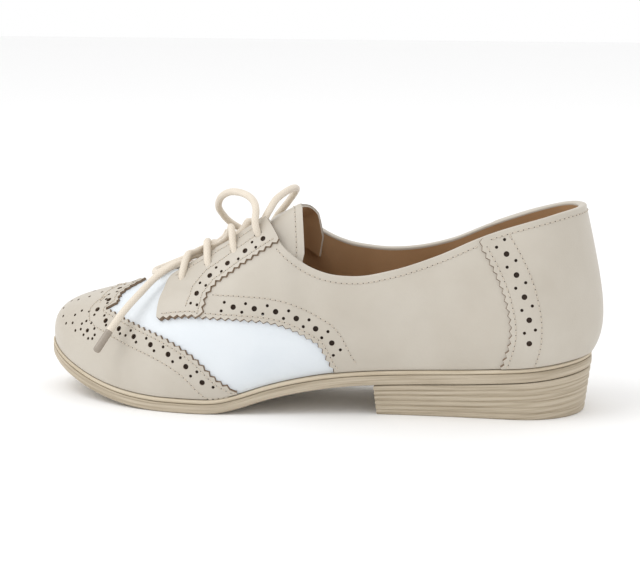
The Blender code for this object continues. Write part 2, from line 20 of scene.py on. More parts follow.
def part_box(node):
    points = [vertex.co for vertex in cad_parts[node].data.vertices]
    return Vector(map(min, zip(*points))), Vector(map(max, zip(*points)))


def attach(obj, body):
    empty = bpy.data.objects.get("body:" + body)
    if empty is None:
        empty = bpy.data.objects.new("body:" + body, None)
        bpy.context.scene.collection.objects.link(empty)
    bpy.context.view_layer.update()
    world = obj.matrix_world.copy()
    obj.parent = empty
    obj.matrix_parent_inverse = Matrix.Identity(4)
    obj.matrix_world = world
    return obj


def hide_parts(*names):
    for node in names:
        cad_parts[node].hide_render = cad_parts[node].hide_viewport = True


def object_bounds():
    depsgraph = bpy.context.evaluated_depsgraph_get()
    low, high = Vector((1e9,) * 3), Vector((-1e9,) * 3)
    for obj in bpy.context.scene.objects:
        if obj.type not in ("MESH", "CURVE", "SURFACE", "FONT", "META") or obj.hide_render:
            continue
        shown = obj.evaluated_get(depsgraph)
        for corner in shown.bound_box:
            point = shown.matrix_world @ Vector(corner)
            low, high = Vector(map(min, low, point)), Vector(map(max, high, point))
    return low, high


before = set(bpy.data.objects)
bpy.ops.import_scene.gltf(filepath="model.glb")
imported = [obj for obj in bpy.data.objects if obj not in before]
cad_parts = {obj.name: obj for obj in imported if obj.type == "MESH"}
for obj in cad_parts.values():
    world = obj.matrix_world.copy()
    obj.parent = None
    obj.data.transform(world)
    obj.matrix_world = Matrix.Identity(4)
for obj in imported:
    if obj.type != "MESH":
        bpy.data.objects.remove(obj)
CAD_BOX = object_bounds()
LOG = logging.getLogger("wing_tip_shoe")
BODY = "root"
MM = 0.001
Spot = tuple[float, float]
Shape = Callable[[float, float, float], Vector]


class Side(Enum):
    """The two sides of a left foot."""

    OUTER = 1
    INNER = -1


# Sections of the last, by station
SECTION_COLUMNS = (
    "station", "lateral", "medial", "spine", "rise", "power", "full_lateral", "full_medial", "lean",
)
SECTIONS = (
    (0, 31.0, 31.0, 0.0, 150, 2.0, 5.4, 5.4, 2.0),
    (34, 31.0, 31.0, 0.0, 140, 2.0, 4.0, 4.5, 3.0),
    (70, 31.5, 29.0, -0.5, 122, 2.0, 3.5, 5.0, 1.5),
    (100, 33.5, 27.0, -1.0, 106, 2.1, 4.0, 6.5, 0.0),
    (130, 38.5, 29.0, -1.5, 93, 2.2, 4.0, 6.5, 0.0),
    (155, 43.5, 35.0, -2.0, 80, 2.3, 3.0, 4.5, 0.0),
    (174, 46.5, 40.0, -2.0, 69.5, 2.3, 2.0, 2.5, 0.0),
    (192, 47.0, 42.5, -2.4, 59.5, 2.2, 1.5, 1.5, 0.0),
    (212, 46.5, 44.0, -3.2, 50.5, 2.2, 1.5, 1.5, 0.0),
    (235, 44.0, 42.5, -4.2, 46.5, 2.2, 1.2, 1.2, 0.0),
    (262, 41.0, 41.0, -5.0, 45, 2.2, 1.0, 1.0, 0.0),
)
UNDERSIDE_COLUMNS = ("station", "height")
UNDERSIDE = (
    (0, 21.5), (20, 18.9), (45, 16.8), (98, 14.2), (112, 13.2), (128, 11.0), (148, 6.4), (159, 2.8),
    (168, 0.6),
    (175, 0.0), (197, 0.0), (206, 0.4), (216, 1.4), (229, 3.8), (242, 7.8), (252, 12.0), (262, 17.8),
)
COLLAR_COLUMNS = ("station", "lateral", "medial")
COLLAR = (
    (0, 67.5, 67.5), (10, 67.8, 67.8), (24, 66, 65.5), (50, 59.5, 58.5), (70, 51.5, 51), (90, 45.6, 47.5),
    (108, 43.8, 48.6), (120, 46.4, 52), (130, 52, 58), (143, 65, 71), (152, 80, 86), (174, 130, 130),
)
EDGE_COLUMNS = ("station", "height")
WING_EDGE = ((160, 1.5), (169, 8.6), (178, 17.7), (193, 26.0), (207, 29.6), (221, 31.5))
QUARTER_EDGE = (
    (114, 0.0), (116, 3.3), (121, 13.9), (127, 19.3), (136, 25.4), (151, 32.2), (168, 37.4), (183, 37.9),
    (198, 35.0),
)
FACING_EDGE = (
    (142, 65.0), (160, 58.5), (171, 52.8), (175.5, 47.0), (177, 38.4), (183, 38.1), (190, 36.9), (198, 35.2),
)
COUNTER_COLUMNS = ("height", "station")
COUNTER_EDGE = ((0.0, 39.0), (14.6, 34.5), (32.4, 37.0), (45.5, 42.0), (59.5, 49.0))

# Creases of the leather as soft troughs (negative depth) and ridges: side, station and height of one end,
# station and height of the other, depth, width
CREASES = (
    (Side.OUTER, 184, 47, 195, 45.8, -0.9, 2.2),
    (Side.OUTER, 185, 50.6, 194, 49.6, 0.5, 2.2),
    (Side.OUTER, 125, 30, 131, 50, -0.9, 6.0),
    (Side.OUTER, 136, 34, 139, 56, 0.6, 5.0),
    (Side.OUTER, 62, 40, 96, 33, 0.7, 9.0),
    (Side.OUTER, 70, 14, 104, 20, -0.6, 9.0),
    (Side.OUTER, 214, 6, 224, 22, -0.5, 5.0),
    (Side.INNER, 124, 28, 131, 50, -0.8, 6.0),
    (Side.INNER, 137, 36, 141, 60, 0.4, 5.0),
    (Side.INNER, 66, 36, 98, 30, 0.5, 9.0),
    (Side.INNER, 150, 16, 166, 27, -0.35, 6.0),
    (Side.INNER, 183, 44, 193, 43, -0.35, 2.6),
)

# Routes of the lace, as points of the shoe's frame
CROSSED_BARS = (
    (
        (189.5, -28, 64.7), (188.5, -22, 68.0), (186, -12, 71.0), (184, -4, 73.0), (182.4, 4, 73.6),
        (180.5, 12, 73.8), (178.8, 18.5, 75.8), (177.5, 24, 74.9),
    ),
    (
        (189.5, 24, 66.4), (188.3, 18.5, 69.6), (186.5, 12, 70.0), (185, 4, 70.4), (183.4, -4, 70.2),
        (181.5, -12, 70.8), (179.5, -20, 72.4), (178.3, -24, 74.4), (177.5, -28, 72.5),
    ),
)
TUCKED_BARS = (
    (
        (165.5, 24, 81.8), (166.9, 19, 83.8), (169.5, 13, 78.8), (173.5, 7, 75.0), (178.5, 2.6, 71.8),
        (184, 2.4, 68.2), (189, 3.5, 67.2),
    ),
    (
        (165.5, -28, 78.5), (167.5, -22.8, 80.2), (170, -17, 76.6), (174.5, -11, 73.6), (179, -8.6, 71.0),
        (184, -7.6, 68.0), (189, -7, 66.6),
    ),
)
LOOP_FRONT = (
    (189, -7, 66.6), (192.5, -10.5, 64.8), (196.4, -13.5, 63.2), (201.2, -14.8, 61.0), (205.2, -12.5, 59.4),
    (208, -8, 58.6), (209.2, -2, 58.4), (208, 4, 58.3), (205.2, 8.5, 59.2), (201.2, 10.8, 61.6),
    (196.4, 9.8, 64.2), (192.5, 6.8, 66.0), (189, 3.5, 67.2),
)
END_OUTER = (
    (190.5, 11, 65.7), (196.5, 16, 63.7), (203, 21, 59.4), (209, 26.4, 52.8), (215, 32, 45.6),
    (220.5, 37.2, 37.4), (226, 42.6, 28.0),
)
ARCH_REAR = (
    (153, 20.6, 83.6), (151.8, 19.4, 86.4), (150.4, 18.2, 89.6), (149, 16.8, 92.4), (147, 12, 96.4),
    (144, 4, 99.0),
    (142, -4, 99.7), (142, -11, 98.4), (144.5, -17, 95.0), (148.6, -22.2, 90.0), (151.6, -25.6, 86.6),
    (154.5, -29, 83.4),
)
ARCH_FRONT = (
    (163.7, -29, 69.8), (167.4, -29.6, 72.6), (171.6, -28.8, 74.8), (175.6, -27.2, 77.2), (179, -24.6, 80.4),
    (181, -21.2, 84.2), (181.6, -17, 87.6), (179.8, -10.8, 91.8), (176, -4, 95.6), (170, 3, 98.2),
    (162.6, 9.6, 98.2), (157, 16, 96), (154.6, 21.4, 92.2), (154.4, 24.6, 87.4), (153, 25.2, 82.4),
)
SWEEP_INNER = (
    (154.5, -29, 83.4), (158.5, -33, 77.8), (163, -34.9, 71.6), (167.6, -35.5, 66.5), (172.8, -35, 63.4),
    (178, -32.6, 63.4), (182, -28.4, 66), (184.4, -23.2, 69.0), (185.6, -17.4, 69.6), (186.3, -12, 68.8),
    (186.6, -8.6, 68),
)


class Profile:
    """A smooth curve through two columns of a table."""

    def __init__(self, columns: Sequence[str], rows: Sequence[Sequence[float]], value: str) -> None:
        """Read the first column and the named one."""
        self.x = [float(row[0]) for row in rows]
        self.y = [float(row[columns.index(value)]) for row in rows]
        self.slope = [float(v) for v in np.gradient(self.y, self.x)]

    def __call__(self, x: float) -> float:
        """Height of the curve at x, held level past its ends."""
        i = min(max(bisect(self.x, x) - 1, 0), len(self.x) - 2)
        step = self.x[i + 1] - self.x[i]
        t = min(max((x - self.x[i]) / step, 0.0), 1.0)
        rise = self.y[i + 1] - self.y[i]
        start = self.slope[i] * step
        end = self.slope[i + 1] * step
        return self.y[i] + t * (start + t * (3 * rise - 2 * start - end + t * (start + end - 2 * rise)))


def smooth_step(low: float, high: float, x: float) -> float:
    """0 at low, 1 at high, level beyond them and smooth between."""
    t = min(max((x - low) / (high - low), 0.0), 1.0)
    return t * t * (3 - 2 * t)


@dataclass
class Last:
    """The form that the upper is shaped on, with the sole's line and the collar and throat of the shoe."""

    length: float = 262.0
    heel_centre: float = 34.0
    ball: float = 174.0
    sole: float = 6.6
    welt_reach: float = 2.4
    seat: float = 0.35
    bulge_height: float = 20.0
    lean_height: float = 66.0
    toe_bluntness: float = 0.85
    heel_turn: float = 0.165
    ball_turn: float = 0.63
    throat_front: float = 198.0
    throat_gap: float = 19.0
    throat_opens: tuple[float, float] = (120.0, 140.0)
    frames: dict[Spot, tuple[Vector, Vector]] = field(default_factory=dict)

    def __post_init__(self) -> None:
        """Draw the curves through the tables."""
        self.section = {name: Profile(SECTION_COLUMNS, SECTIONS, name) for name in SECTION_COLUMNS[1:]}
        self.under = Profile(UNDERSIDE_COLUMNS, UNDERSIDE, "height")
        self.collar = {
            1: Profile(COLLAR_COLUMNS, COLLAR, "lateral"),
            -1: Profile(COLLAR_COLUMNS, COLLAR, "medial"),
        }

    def underside(self, station: float) -> float:
        """Height of the sole's underside."""
        return max(self.under(station), 0.0)

    def feather(self, station: float) -> float:
        """Height of the sole's top, where the upper meets it."""
        return self.underside(station) + self.sole

    def spine(self, station: float) -> float:
        """The y of the last's middle line."""
        return self.section["spine"](station)

    def closing(self, station: float, inset: float) -> tuple[float, float]:
        """Shares of the full width left by the rounds of the toe and of the heel."""
        toe = max(station - self.ball, 0.0) / (self.length - inset - self.ball)
        heel = max(self.heel_centre - station, 0.0) / (self.heel_centre - inset)
        return math.sqrt(max(1 - toe * toe, 0.0)), math.sqrt(max(1 - heel * heel, 0.0))

    def half_width(self, side: int, station: float, inset: float = 0.0) -> float:
        """Distance from the spine to the sole's outline, drawn in by inset."""
        toe, heel = self.closing(station, inset)
        full = self.section["lateral" if side > 0 else "medial"](station)
        return max(full - inset, 0.0) * toe * heel

    def section_point(self, side: int, station: float, angle: float) -> Vector:
        """A point of the upper's outside.

        Args:
            side: 1 on the outer side and -1 on the inner side.
            station: place along the foot.
            angle: 0 at the feather edge, a right angle at the ridge.

        Returns:
            The point in the shoe's frame.
        """
        toe, heel = self.closing(station, self.welt_reach)
        bend = 2 / self.section["power"](station)
        across = self.half_width(side, station, self.welt_reach) * max(math.cos(angle), 0.0) ** bend
        rise = self.section["rise"](station) * toe ** self.toe_bluntness * heel * math.sin(angle) ** bend
        full = self.section["full_lateral" if side > 0 else "full_medial"](station)
        out = full * rise / self.bulge_height * math.exp(1 - rise / self.bulge_height)
        out -= self.section["lean"](station) * (rise / self.lean_height) ** 2
        ahead = max(station - self.ball, 0.0) + min(station - self.heel_centre, 0.0)
        reach = math.hypot(ahead, across) + 1e-9
        return Vector((
            station + ahead / reach * out,
            self.spine(station) + side * across * (1 + out / reach),
            self.feather(station) + self.seat + rise,
        ))

    def angle_at_height(self, station: float, height: float) -> float:
        """Section angle where the wall stands at a height over the feather edge."""
        toe, heel = self.closing(station, self.welt_reach)
        rise = self.section["rise"](station) * toe ** self.toe_bluntness * heel
        share = min(max(height / max(rise, 1e-6), 0.0), 1.0)
        return math.asin(share ** (self.section["power"](station) / 2))

    def angle_at_gap(self, side: int, station: float, gap: float) -> float:
        """Section angle where the wall comes within a distance of the spine."""
        share = min(gap / max(self.half_width(side, station, self.welt_reach), 1e-6), 1.0)
        return math.acos(share ** (self.section["power"](station) / 2))

    def spot(self, turn: float, climb: float) -> tuple[int, float, float]:
        """Side, station and angle of a way round (0 heel, 1 toe, inner side negative) and a climb."""
        turn = (turn + 1) % 2 - 1
        side = 1 if turn >= 0 else -1
        way = abs(turn)
        lift = climb * math.pi / 2
        if self.heel_turn <= way <= self.ball_turn:
            share = (way - self.heel_turn) / (self.ball_turn - self.heel_turn)
            return side, self.heel_centre + share * (self.ball - self.heel_centre), lift
        at_toe = way > self.ball_turn
        sweep = (1 - way) / (1 - self.ball_turn) if at_toe else way / self.heel_turn
        sweep *= math.pi / 2
        tilt = math.cos(lift) * math.cos(sweep)
        angle = math.atan2(math.sin(lift), math.cos(lift) * math.sin(sweep))
        if at_toe:
            return side, self.ball + (self.length - self.welt_reach - self.ball) * tilt, angle
        return side, self.heel_centre - (self.heel_centre - self.welt_reach) * tilt, angle

    def turn_and_climb(self, side: int, station: float, angle: float) -> Spot:
        """The way round and the climb of a place on the last: the reverse of spot."""
        if self.heel_centre <= station <= self.ball:
            share = (station - self.heel_centre) / (self.ball - self.heel_centre)
            return side * (self.heel_turn + share * (self.ball_turn - self.heel_turn)), angle / (math.pi / 2)
        at_toe = station > self.ball
        reach = (self.length - self.ball if at_toe else self.heel_centre) - self.welt_reach
        tilt = min(abs(station - (self.ball if at_toe else self.heel_centre)) / reach, 1.0)
        level = math.sqrt(1 - tilt * tilt)
        sweep = math.atan2(level * math.cos(angle), tilt) / (math.pi / 2)
        climb = math.asin(min(level * math.sin(angle), 1.0)) / (math.pi / 2)
        way = 1 - sweep * (1 - self.ball_turn) if at_toe else sweep * self.heel_turn
        return side * way, climb

    def crease(self, side: int, station: float, height: float) -> float:
        """How far the creases lift the leather at a place, in millimetres."""
        lift = 0.0
        for crease_side, x0, z0, x1, z1, depth, width in CREASES:
            if crease_side.value != side or not min(x0, x1) - 24 < station < max(x0, x1) + 24:
                continue
            run = (x1 - x0) ** 2 + (z1 - z0) ** 2
            t = ((station - x0) * (x1 - x0) + (height - z0) * (z1 - z0)) / run
            nearest = min(max(t, 0.0), 1.0)
            away = math.hypot(station - x0 - nearest * (x1 - x0), height - z0 - nearest * (z1 - z0))
            lift += depth * math.exp(-((away / width) ** 2))
        return lift

    def frame_at(self, turn: float, climb: float) -> tuple[Vector, Vector]:
        """The creased upper's point and outward normal at a way round and a climb."""
        key = (turn, climb)
        if key not in self.frames:
            step = 2e-3
            low = max(climb - step, 0.0)
            side, station, angle = self.spot(turn, climb)
            here = self.section_point(side, station, angle)
            along = self.section_point(*self.spot(turn + step, climb))
            along -= self.section_point(*self.spot(turn - step, climb))
            up = self.section_point(*self.spot(turn, low + 2 * step))
            up -= self.section_point(*self.spot(turn, low))
            normal = up.cross(along).normalized()
            lift = self.crease(side, station, here.z - self.feather(station))
            self.frames[key] = (here + normal * lift, normal)
        return self.frames[key]

    def point(self, turn: float, climb: float, offset: float = 0.0) -> Vector:
        """A point at a distance out from the upper's outside, never below the sole's top."""
        here, normal = self.frame_at(turn, climb)
        moved = here + normal * offset
        moved.z = max(moved.z, self.feather(min(max(moved.x, 0.0), self.length)) + self.seat)
        return moved

    def nearest(self, target: Vector, guess: Spot) -> Spot:
        """The spot of the wall closest to a point, found from a guess nearby."""
        turn, climb = guess
        step = 1e-3
        for _ in range(4):
            here = self.frame_at(turn, climb)[0]
            by_turn = (self.frame_at(turn + step, climb)[0] - here) / step
            by_climb = (self.frame_at(turn, climb + step)[0] - here) / step
            miss = target - here
            a, b, c = by_turn.dot(by_turn), by_turn.dot(by_climb), by_climb.dot(by_climb)
            d, e = by_turn.dot(miss), by_climb.dot(miss)
            scale = a * c - b * b
            turn += (d * c - e * b) / scale
            climb = min(max(climb + (a * e - b * d) / scale, 0.0), 0.998)
        return turn, climb

    def walk(self, start: Spot, direction: Vector, distance: float) -> Spot:
        """Go a distance over the wall from a spot, keeping to a direction as seen from above."""
        spot = start
        steps = max(round(distance / 3.0), 1)
        for _ in range(steps):
            here, normal = self.frame_at(*spot)
            level = direction - normal * direction.dot(normal)
            spot = self.nearest(here + level.normalized() * (distance / steps), spot)
        return spot

    def beyond_top(self, side: int, station: float, angle: float, gap: float) -> bool:
        """True over the collar, or inside a throat of the given half gap."""
        point = self.section_point(side, station, angle)
        aside = abs(point.y - self.spine(station))
        if station > self.ball:
            ahead = (station - self.ball) / (self.throat_front - self.ball)
            return ahead ** 3 + (aside / gap) ** 3 < 1
        open_gap = gap * smooth_step(*self.throat_opens, station)
        return point.z - self.feather(station) > self.collar[side](station) or aside < open_gap

    def climb_until(self, turn: float, past: Callable[[int, float, float], bool]) -> float:
        """The climb at which a test on side, station and angle first holds."""
        low, high = 0.0, 1.0
        for _ in range(24):
            middle = (low + high) / 2
            if past(*self.spot(turn, middle)):
                high = middle
            else:
                low = middle
        return low

    def top_climb(self, turn: float, gap: float | None = None) -> float:
        """Climb at which the wall ends at the collar or the throat."""
        half = self.throat_gap if gap is None else gap
        return self.climb_until(turn, lambda *spot: self.beyond_top(*spot, half))


LAST = Last()


def find_origin() -> Vector:
    """The model's origin in the shoe's frame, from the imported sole's box."""
    low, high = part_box("outsole")
    stations = np.linspace(LAST.ball - 60, LAST.length, 200)
    outer = max(LAST.spine(s) + LAST.half_width(1, s) for s in stations)
    return Vector((-low.x / MM, outer - high.y / MM, 0.0))


ORIGIN = find_origin()


def place(point: Iterable[float]) -> Vector:
    """Turn a point of the shoe's frame into the model's metres."""
    return (Vector(point) - ORIGIN) * MM


# Meshes


def unit_block(columns: int, rows: int, layers: int = 1) -> bmesh.types.BMesh:
    """A flat unit sheet, extruded upwards one unit at a time.

    Args:
        columns: cells along x.
        rows: cells along y.
        layers: units of height.

    Returns:
        The closed block, with corners at 0 and 1 in x and y.
    """
    bm = bmesh.new()
    bmesh.ops.create_grid(bm, x_segments=columns, y_segments=rows, size=0.5)
    cap = bm.faces[:]
    for layer in range(layers):
        grown = bmesh.ops.extrude_face_region(bm, geom=cap, use_keep_orig=True)
        if layer > 0:
            bmesh.ops.delete(bm, geom=cap, context="FACES")
        cap = [part for part in grown["geom"] if isinstance(part, bmesh.types.BMFace)]
        lifted = [part for part in grown["geom"] if isinstance(part, bmesh.types.BMVert)]
        bmesh.ops.translate(bm, verts=lifted, vec=(0, 0, 1))
    bmesh.ops.translate(bm, verts=bm.verts[:], vec=(0.5, 0.5, 0))
    return bm


def open_ends(bm: bmesh.types.BMesh) -> None:
    """Take off a block's two end faces, so that it can close on itself as a ring."""
    def at_end(face: bmesh.types.BMFace) -> bool:
        """True for a face that closes an end."""
        along = [vertex.co.x for vertex in face.verts]
        return max(along) < 1e-6 or min(along) > 1 - 1e-6

    bmesh.ops.delete(bm, geom=[face for face in bm.faces if at_end(face)], context="FACES")


def rim_edges(bm: bmesh.types.BMesh) -> list[bmesh.types.BMEdge]:
    """The edges round the top of a unit block that is still flat."""
    def on_rim(edge: bmesh.types.BMEdge) -> bool:
        """True for an edge where the top turns down."""
        return all(v.co.z > 0.5 for v in edge.verts) and edge.calc_face_angle(0.0) > 1.0

    bm.normal_update()
    return [edge for edge in bm.edges if on_rim(edge)]


def lay_out(bm: bmesh.types.BMesh, shape: Shape) -> None:
    """Move each point of a flat block to its place in the model."""
    for vertex in bm.verts:
        vertex.co = place(shape(*vertex.co))


def lay_uv(bm: bmesh.types.BMesh, where: Callable[[float, float, float], Spot]) -> None:
    """Give a flat block a UV map, in metres along and across the piece."""
    layer = bm.loops.layers.uv.new("UVMap")
    for face in bm.faces:
        for loop in face.loops:
            loop[layer].uv = where(*loop.vert.co)


def finish_mesh(name: str, bm: bmesh.types.BMesh, crisp: float = 38.0, weld: bool = True) -> bpy.types.Object:
    """Close a bmesh into a shaded object.

    Args:
        name: the piece's name.
        bm: its shape, which is freed.
        crisp: edges that bend more than this many degrees stay sharp.
        weld: merge points that meet, for a shape that closes on itself.

    Returns:
        The linked object.
    """
    if weld:
        bmesh.ops.remove_doubles(bm, verts=bm.verts[:], dist=2e-6)
        bmesh.ops.dissolve_degenerate(bm, edges=bm.edges[:], dist=1e-7)
    bmesh.ops.recalc_face_normals(bm, faces=bm.faces[:])
    mesh = bpy.data.meshes.new(name)
    bm.to_mesh(mesh)
    bm.free()
    mesh.shade_smooth()
    mesh.set_sharp_from_angle(angle=math.radians(crisp))
    item = bpy.data.objects.new(name, mesh)
    bpy.context.collection.objects.link(item)
    return item


@dataclass(frozen=True)
class Punch:
    """A round hole through the leather at a spot of the last."""

    spot: Spot
    radius: float

    def clear_of(self, others: Sequence["Punch"], margin: float = 0.5) -> bool:
        """True if a margin of leather stays between this hole and each of the others."""
        here = LAST.frame_at(*self.spot)[0]
        gaps = [(LAST.frame_at(*other.spot)[0] - here).length - other.radius for other in others]
        return all(gap > self.radius + margin for gap in gaps)


def punch(item: bpy.types.Object, holes: Sequence[Punch], wall_slot: int = 0) -> None:
    """Cut round holes through a panel along the wall's normals.

    Args:
        item: the closed panel.
        holes: where the holes are and how large.
        wall_slot: material slot of the holes' walls.
    """
    depth = 9.0
    bm = bmesh.new()
    for hole in holes:
        here, normal = LAST.frame_at(*hole.spot)
        turn = normal.to_track_quat("Z", "Y").to_matrix().to_4x4()
        bmesh.ops.create_cone(
            bm, cap_ends=True, segments=14, radius1=hole.radius * MM, radius2=hole.radius * MM,
            depth=depth * MM, matrix=Matrix.Translation(place(here)) @ turn,
        )
    for face in bm.faces:
        face.material_index = wall_slot
    cutter = finish_mesh(item.name + "_punch", bm)
    for material in item.data.materials:
        cutter.data.materials.append(material)
    cut = item.modifiers.new("holes", "BOOLEAN")
    cut.operation = "DIFFERENCE"
    cut.solver = "MANIFOLD"
    cut.object = cutter
    before = len(item.data.polygons)
    result = bpy.data.meshes.new_from_object(item.evaluated_get(bpy.context.evaluated_depsgraph_get()))
    item.modifiers.clear()
    item.data = result
    result.name = item.name
    result.shade_smooth()
    result.set_sharp_from_angle(angle=math.radians(38))
    bpy.data.objects.remove(cutter, do_unlink=True)
    LOG.info("%s: %d holes, %d faces became %d", item.name, len(holes), before, len(result.polygons))


@dataclass
class SeamLine:
    """A line drawn over the last, as spots in order, measured along its length."""

    spots: list[Spot]

    def __post_init__(self) -> None:
        """Measure the line."""
        points = [LAST.frame_at(*spot)[0] for spot in self.spots]
        steps = [(end - start).length for start, end in zip(points, points[1:])]
        self.marks = np.concatenate([[0.0], np.cumsum(steps)])
        self.turns = [spot[0] for spot in self.spots]
        self.climbs = [spot[1] for spot in self.spots]

    @property
    def length(self) -> float:
        """Length of the line in millimetres."""
        return float(self.marks[-1])

    def at(self, distance: float) -> Spot:
        """The spot at a distance along the line."""
        turn = float(np.interp(distance, self.marks, self.turns))
        return turn, float(np.interp(distance, self.marks, self.climbs))

    def at_share(self, share: float) -> Spot:
        """The spot at a share of the line's length."""
        return self.at(share * self.length)

    def beside(self, distance: float, inside: Spot) -> "SeamLine":
        """A line that keeps a distance from this one over the wall.

        Args:
            distance: how far to the side that inside lies on.
            inside: any spot on that side of the line's middle.

        Returns:
            The parallel line.
        """
        count = max(len(self.spots), 12)
        spots = [self.at_share(k / (count - 1)) for k in range(count)]
        points = [LAST.frame_at(*spot)[0] for spot in spots]
        middle = count // 2
        towards = LAST.frame_at(*inside)[0] - points[middle]
        found = []
        ways = []
        for k, spot in enumerate(spots):
            along = (points[min(k + 2, count - 1)] - points[max(k - 2, 0)]).normalized()
            ways.append(LAST.frame_at(*spot)[1].cross(along).normalized())
        sign = 1.0 if ways[middle].dot(towards) > 0 else -1.0
        for spot, point, way in zip(spots, points, ways):
            found.append(LAST.nearest(point + way * sign * distance, spot))
        return SeamLine(found)


@dataclass(frozen=True)
class Thread:
    """Sewing thread: the size of its stitches."""

    pitch: float = 2.5
    length: float = 1.75
    width: float = 0.6
    height: float = 0.42
    needle: float = 0.28

    def sew(self, bm: bmesh.types.BMesh, route: Sequence[tuple[Vector, Vector]]) -> None:
        """Lay stitches along points with their normals.

        Args:
            bm: the mesh that gets the stitches.
            route: points of the shoe's frame and the surface's normals there.
        """
        points = [point for point, _ in route]
        steps = [(end - start).length for start, end in zip(points, points[1:])]
        marks = np.concatenate([[0.0], np.cumsum(steps)])
        table = np.array([list(p) + list(n) for p, n in route])

        def at(distance: float) -> tuple[Vector, Vector]:
            """The point and normal at a distance along the route."""
            row = [float(np.interp(distance, marks, table[:, k])) for k in range(6)]
            return Vector(row[:3]), Vector(row[3:]).normalized()

        count = int(marks[-1] / self.pitch)
        for k in range(count):
            start, _ = at((k + 0.15) * self.pitch)
            end, _ = at((k + 0.15) * self.pitch + self.length)
            middle, normal = at((k + 0.15) * self.pitch + self.length / 2)
            along = (end - start).normalized()
            across = normal.cross(along).normalized()
            axes = Matrix((along, across, along.cross(across))).transposed().to_4x4()
            size = Matrix.Diagonal((self.length * 0.56 * MM, self.width / 2 * MM, self.height * MM, 1.0))
            bmesh.ops.create_uvsphere(
                bm, u_segments=6, v_segments=4, radius=1.0,
                matrix=Matrix.Translation(place(middle)) @ axes @ size,
            )
            # Needle hole: a small flat dark disc in slot 1, painted shade standing in for the hole's dark inside.
            hole, _ = at((k + 0.15) * self.pitch + (self.length + self.pitch) / 2)
            flat = Matrix.Diagonal((self.needle * MM, self.needle * MM, 0.1 * MM, 1.0))
            made = bmesh.ops.create_icosphere(
                bm, subdivisions=1, radius=1.0, matrix=Matrix.Translation(place(hole)) @ axes @ flat,
            )
            for face in {face for vertex in made["verts"] for face in vertex.link_faces}:
                face.material_index = 1

    def sew_line(self, bm: bmesh.types.BMesh, line: SeamLine, offset: float,
                 first: float = 0.0, last: float = 1.0) -> None:
        """Lay stitches along part of a line, at an offset from the upper's outside."""
        count = max(int(line.length / 1.5), 8)
        spots = [line.at_share(first + (last - first) * k / count) for k in range(count + 1)]
        self.sew(bm, [(LAST.point(*spot, offset), LAST.frame_at(*spot)[1]) for spot in spots])


THREAD = Thread()


# Finishes


def linear(code: str) -> tuple[float, float, float, float]:
    """Turn an sRGB hex colour into linear values."""
    def one(part: str) -> float:
        """One channel."""
        value = int(part, 16) / 255
        return value / 12.92 if value <= 0.04045 else ((value + 0.055) / 1.055) ** 2.4

    return one(code[1:3]), one(code[3:5]), one(code[5:7]), 1.0


def add_node(tree: bpy.types.NodeTree, kind: str, values: dict | None = None, links: dict | None = None,
             **settings: Any) -> bpy.types.Node:
    """Add a shader node.

    Args:
        tree: the material's nodes.
        kind: the node's type name without its ShaderNode prefix.
        values: constants by input name or number.
        links: output sockets by input name or number.
        settings: the node's own properties.

    Returns:
        The node.
    """
    node = tree.nodes.new("ShaderNode" + kind)
    for name, value in settings.items():
        setattr(node, name, value)
    for key, value in (values or {}).items():
        node.inputs[key].default_value = value
    for key, socket in (links or {}).items():
        tree.links.new(socket, node.inputs[key])
    return node


def new_material(name: str) -> tuple[bpy.types.Material, bpy.types.NodeTree, bpy.types.Node]:
    """A material with a bare Principled shader: the material, its nodes and the shader."""
    material = bpy.data.materials.new(name)
    material.use_nodes = True
    tree = material.node_tree
    return material, tree, tree.nodes["Principled BSDF"]


@dataclass(frozen=True)
class Leather:
    """Finished leather: a fine pebbled grain with pores, and a slight drift of colour."""

    name: str
    colour: str
    shade: str
    roughness: float
    grain_mm: float = 0.9
    pore_mm: float = 0.35
    drift_mm: float = 26.0
    relief_mm: float = 0.05
    coat: float = 0.0

    def make(self) -> bpy.types.Material:
        """Build the material."""
        material, tree, shader = new_material(self.name)
        where = add_node(tree, "TexCoord").outputs["Object"]
        drift = add_node(
            tree, "TexNoise", {"Scale": 1 / (self.drift_mm * MM), "Detail": 4.0}, {"Vector": where},
        )
        grain = add_node(
            tree, "TexVoronoi", {"Scale": 1 / (self.grain_mm * MM), "Randomness": 1.0}, {"Vector": where},
        )
        pores = add_node(
            tree, "TexNoise", {"Scale": 1 / (self.pore_mm * MM), "Detail": 2.0}, {"Vector": where},
        )
        share = add_node(
            tree, "MapRange", {"From Min": 0.3, "From Max": 0.7}, {"Value": drift.outputs["Fac"]},
        )
        colour = add_node(
            tree, "Mix", None, {"Factor": share.outputs["Result"]}, data_type="RGBA",
        )
        colour.inputs[6].default_value = linear(self.colour)
        colour.inputs[7].default_value = linear(self.shade)
        tree.links.new(colour.outputs[2], shader.inputs["Base Color"])
        gloss = add_node(
            tree, "MapRange",
            {
                "From Min": 0.25, "From Max": 0.75,
                "To Min": self.roughness - 0.06, "To Max": self.roughness + 0.06,
            },
            {"Value": pores.outputs["Fac"]},
        )
        tree.links.new(gloss.outputs["Result"], shader.inputs["Roughness"])
        coarse = add_node(
            tree, "Bump", {"Strength": 0.5, "Distance": self.relief_mm * MM},
            {"Height": grain.outputs["Distance"]},
        )
        fine = add_node(
            tree, "Bump", {"Strength": 0.35, "Distance": self.relief_mm * MM},
            {"Height": pores.outputs["Fac"], "Normal": coarse.outputs["Normal"]},
        )
        tree.links.new(fine.outputs["Normal"], shader.inputs["Normal"])
        shader.inputs["IOR"].default_value = 1.5
        shader.inputs["Coat Weight"].default_value = self.coat
        shader.inputs["Coat Roughness"].default_value = 0.3
        return material


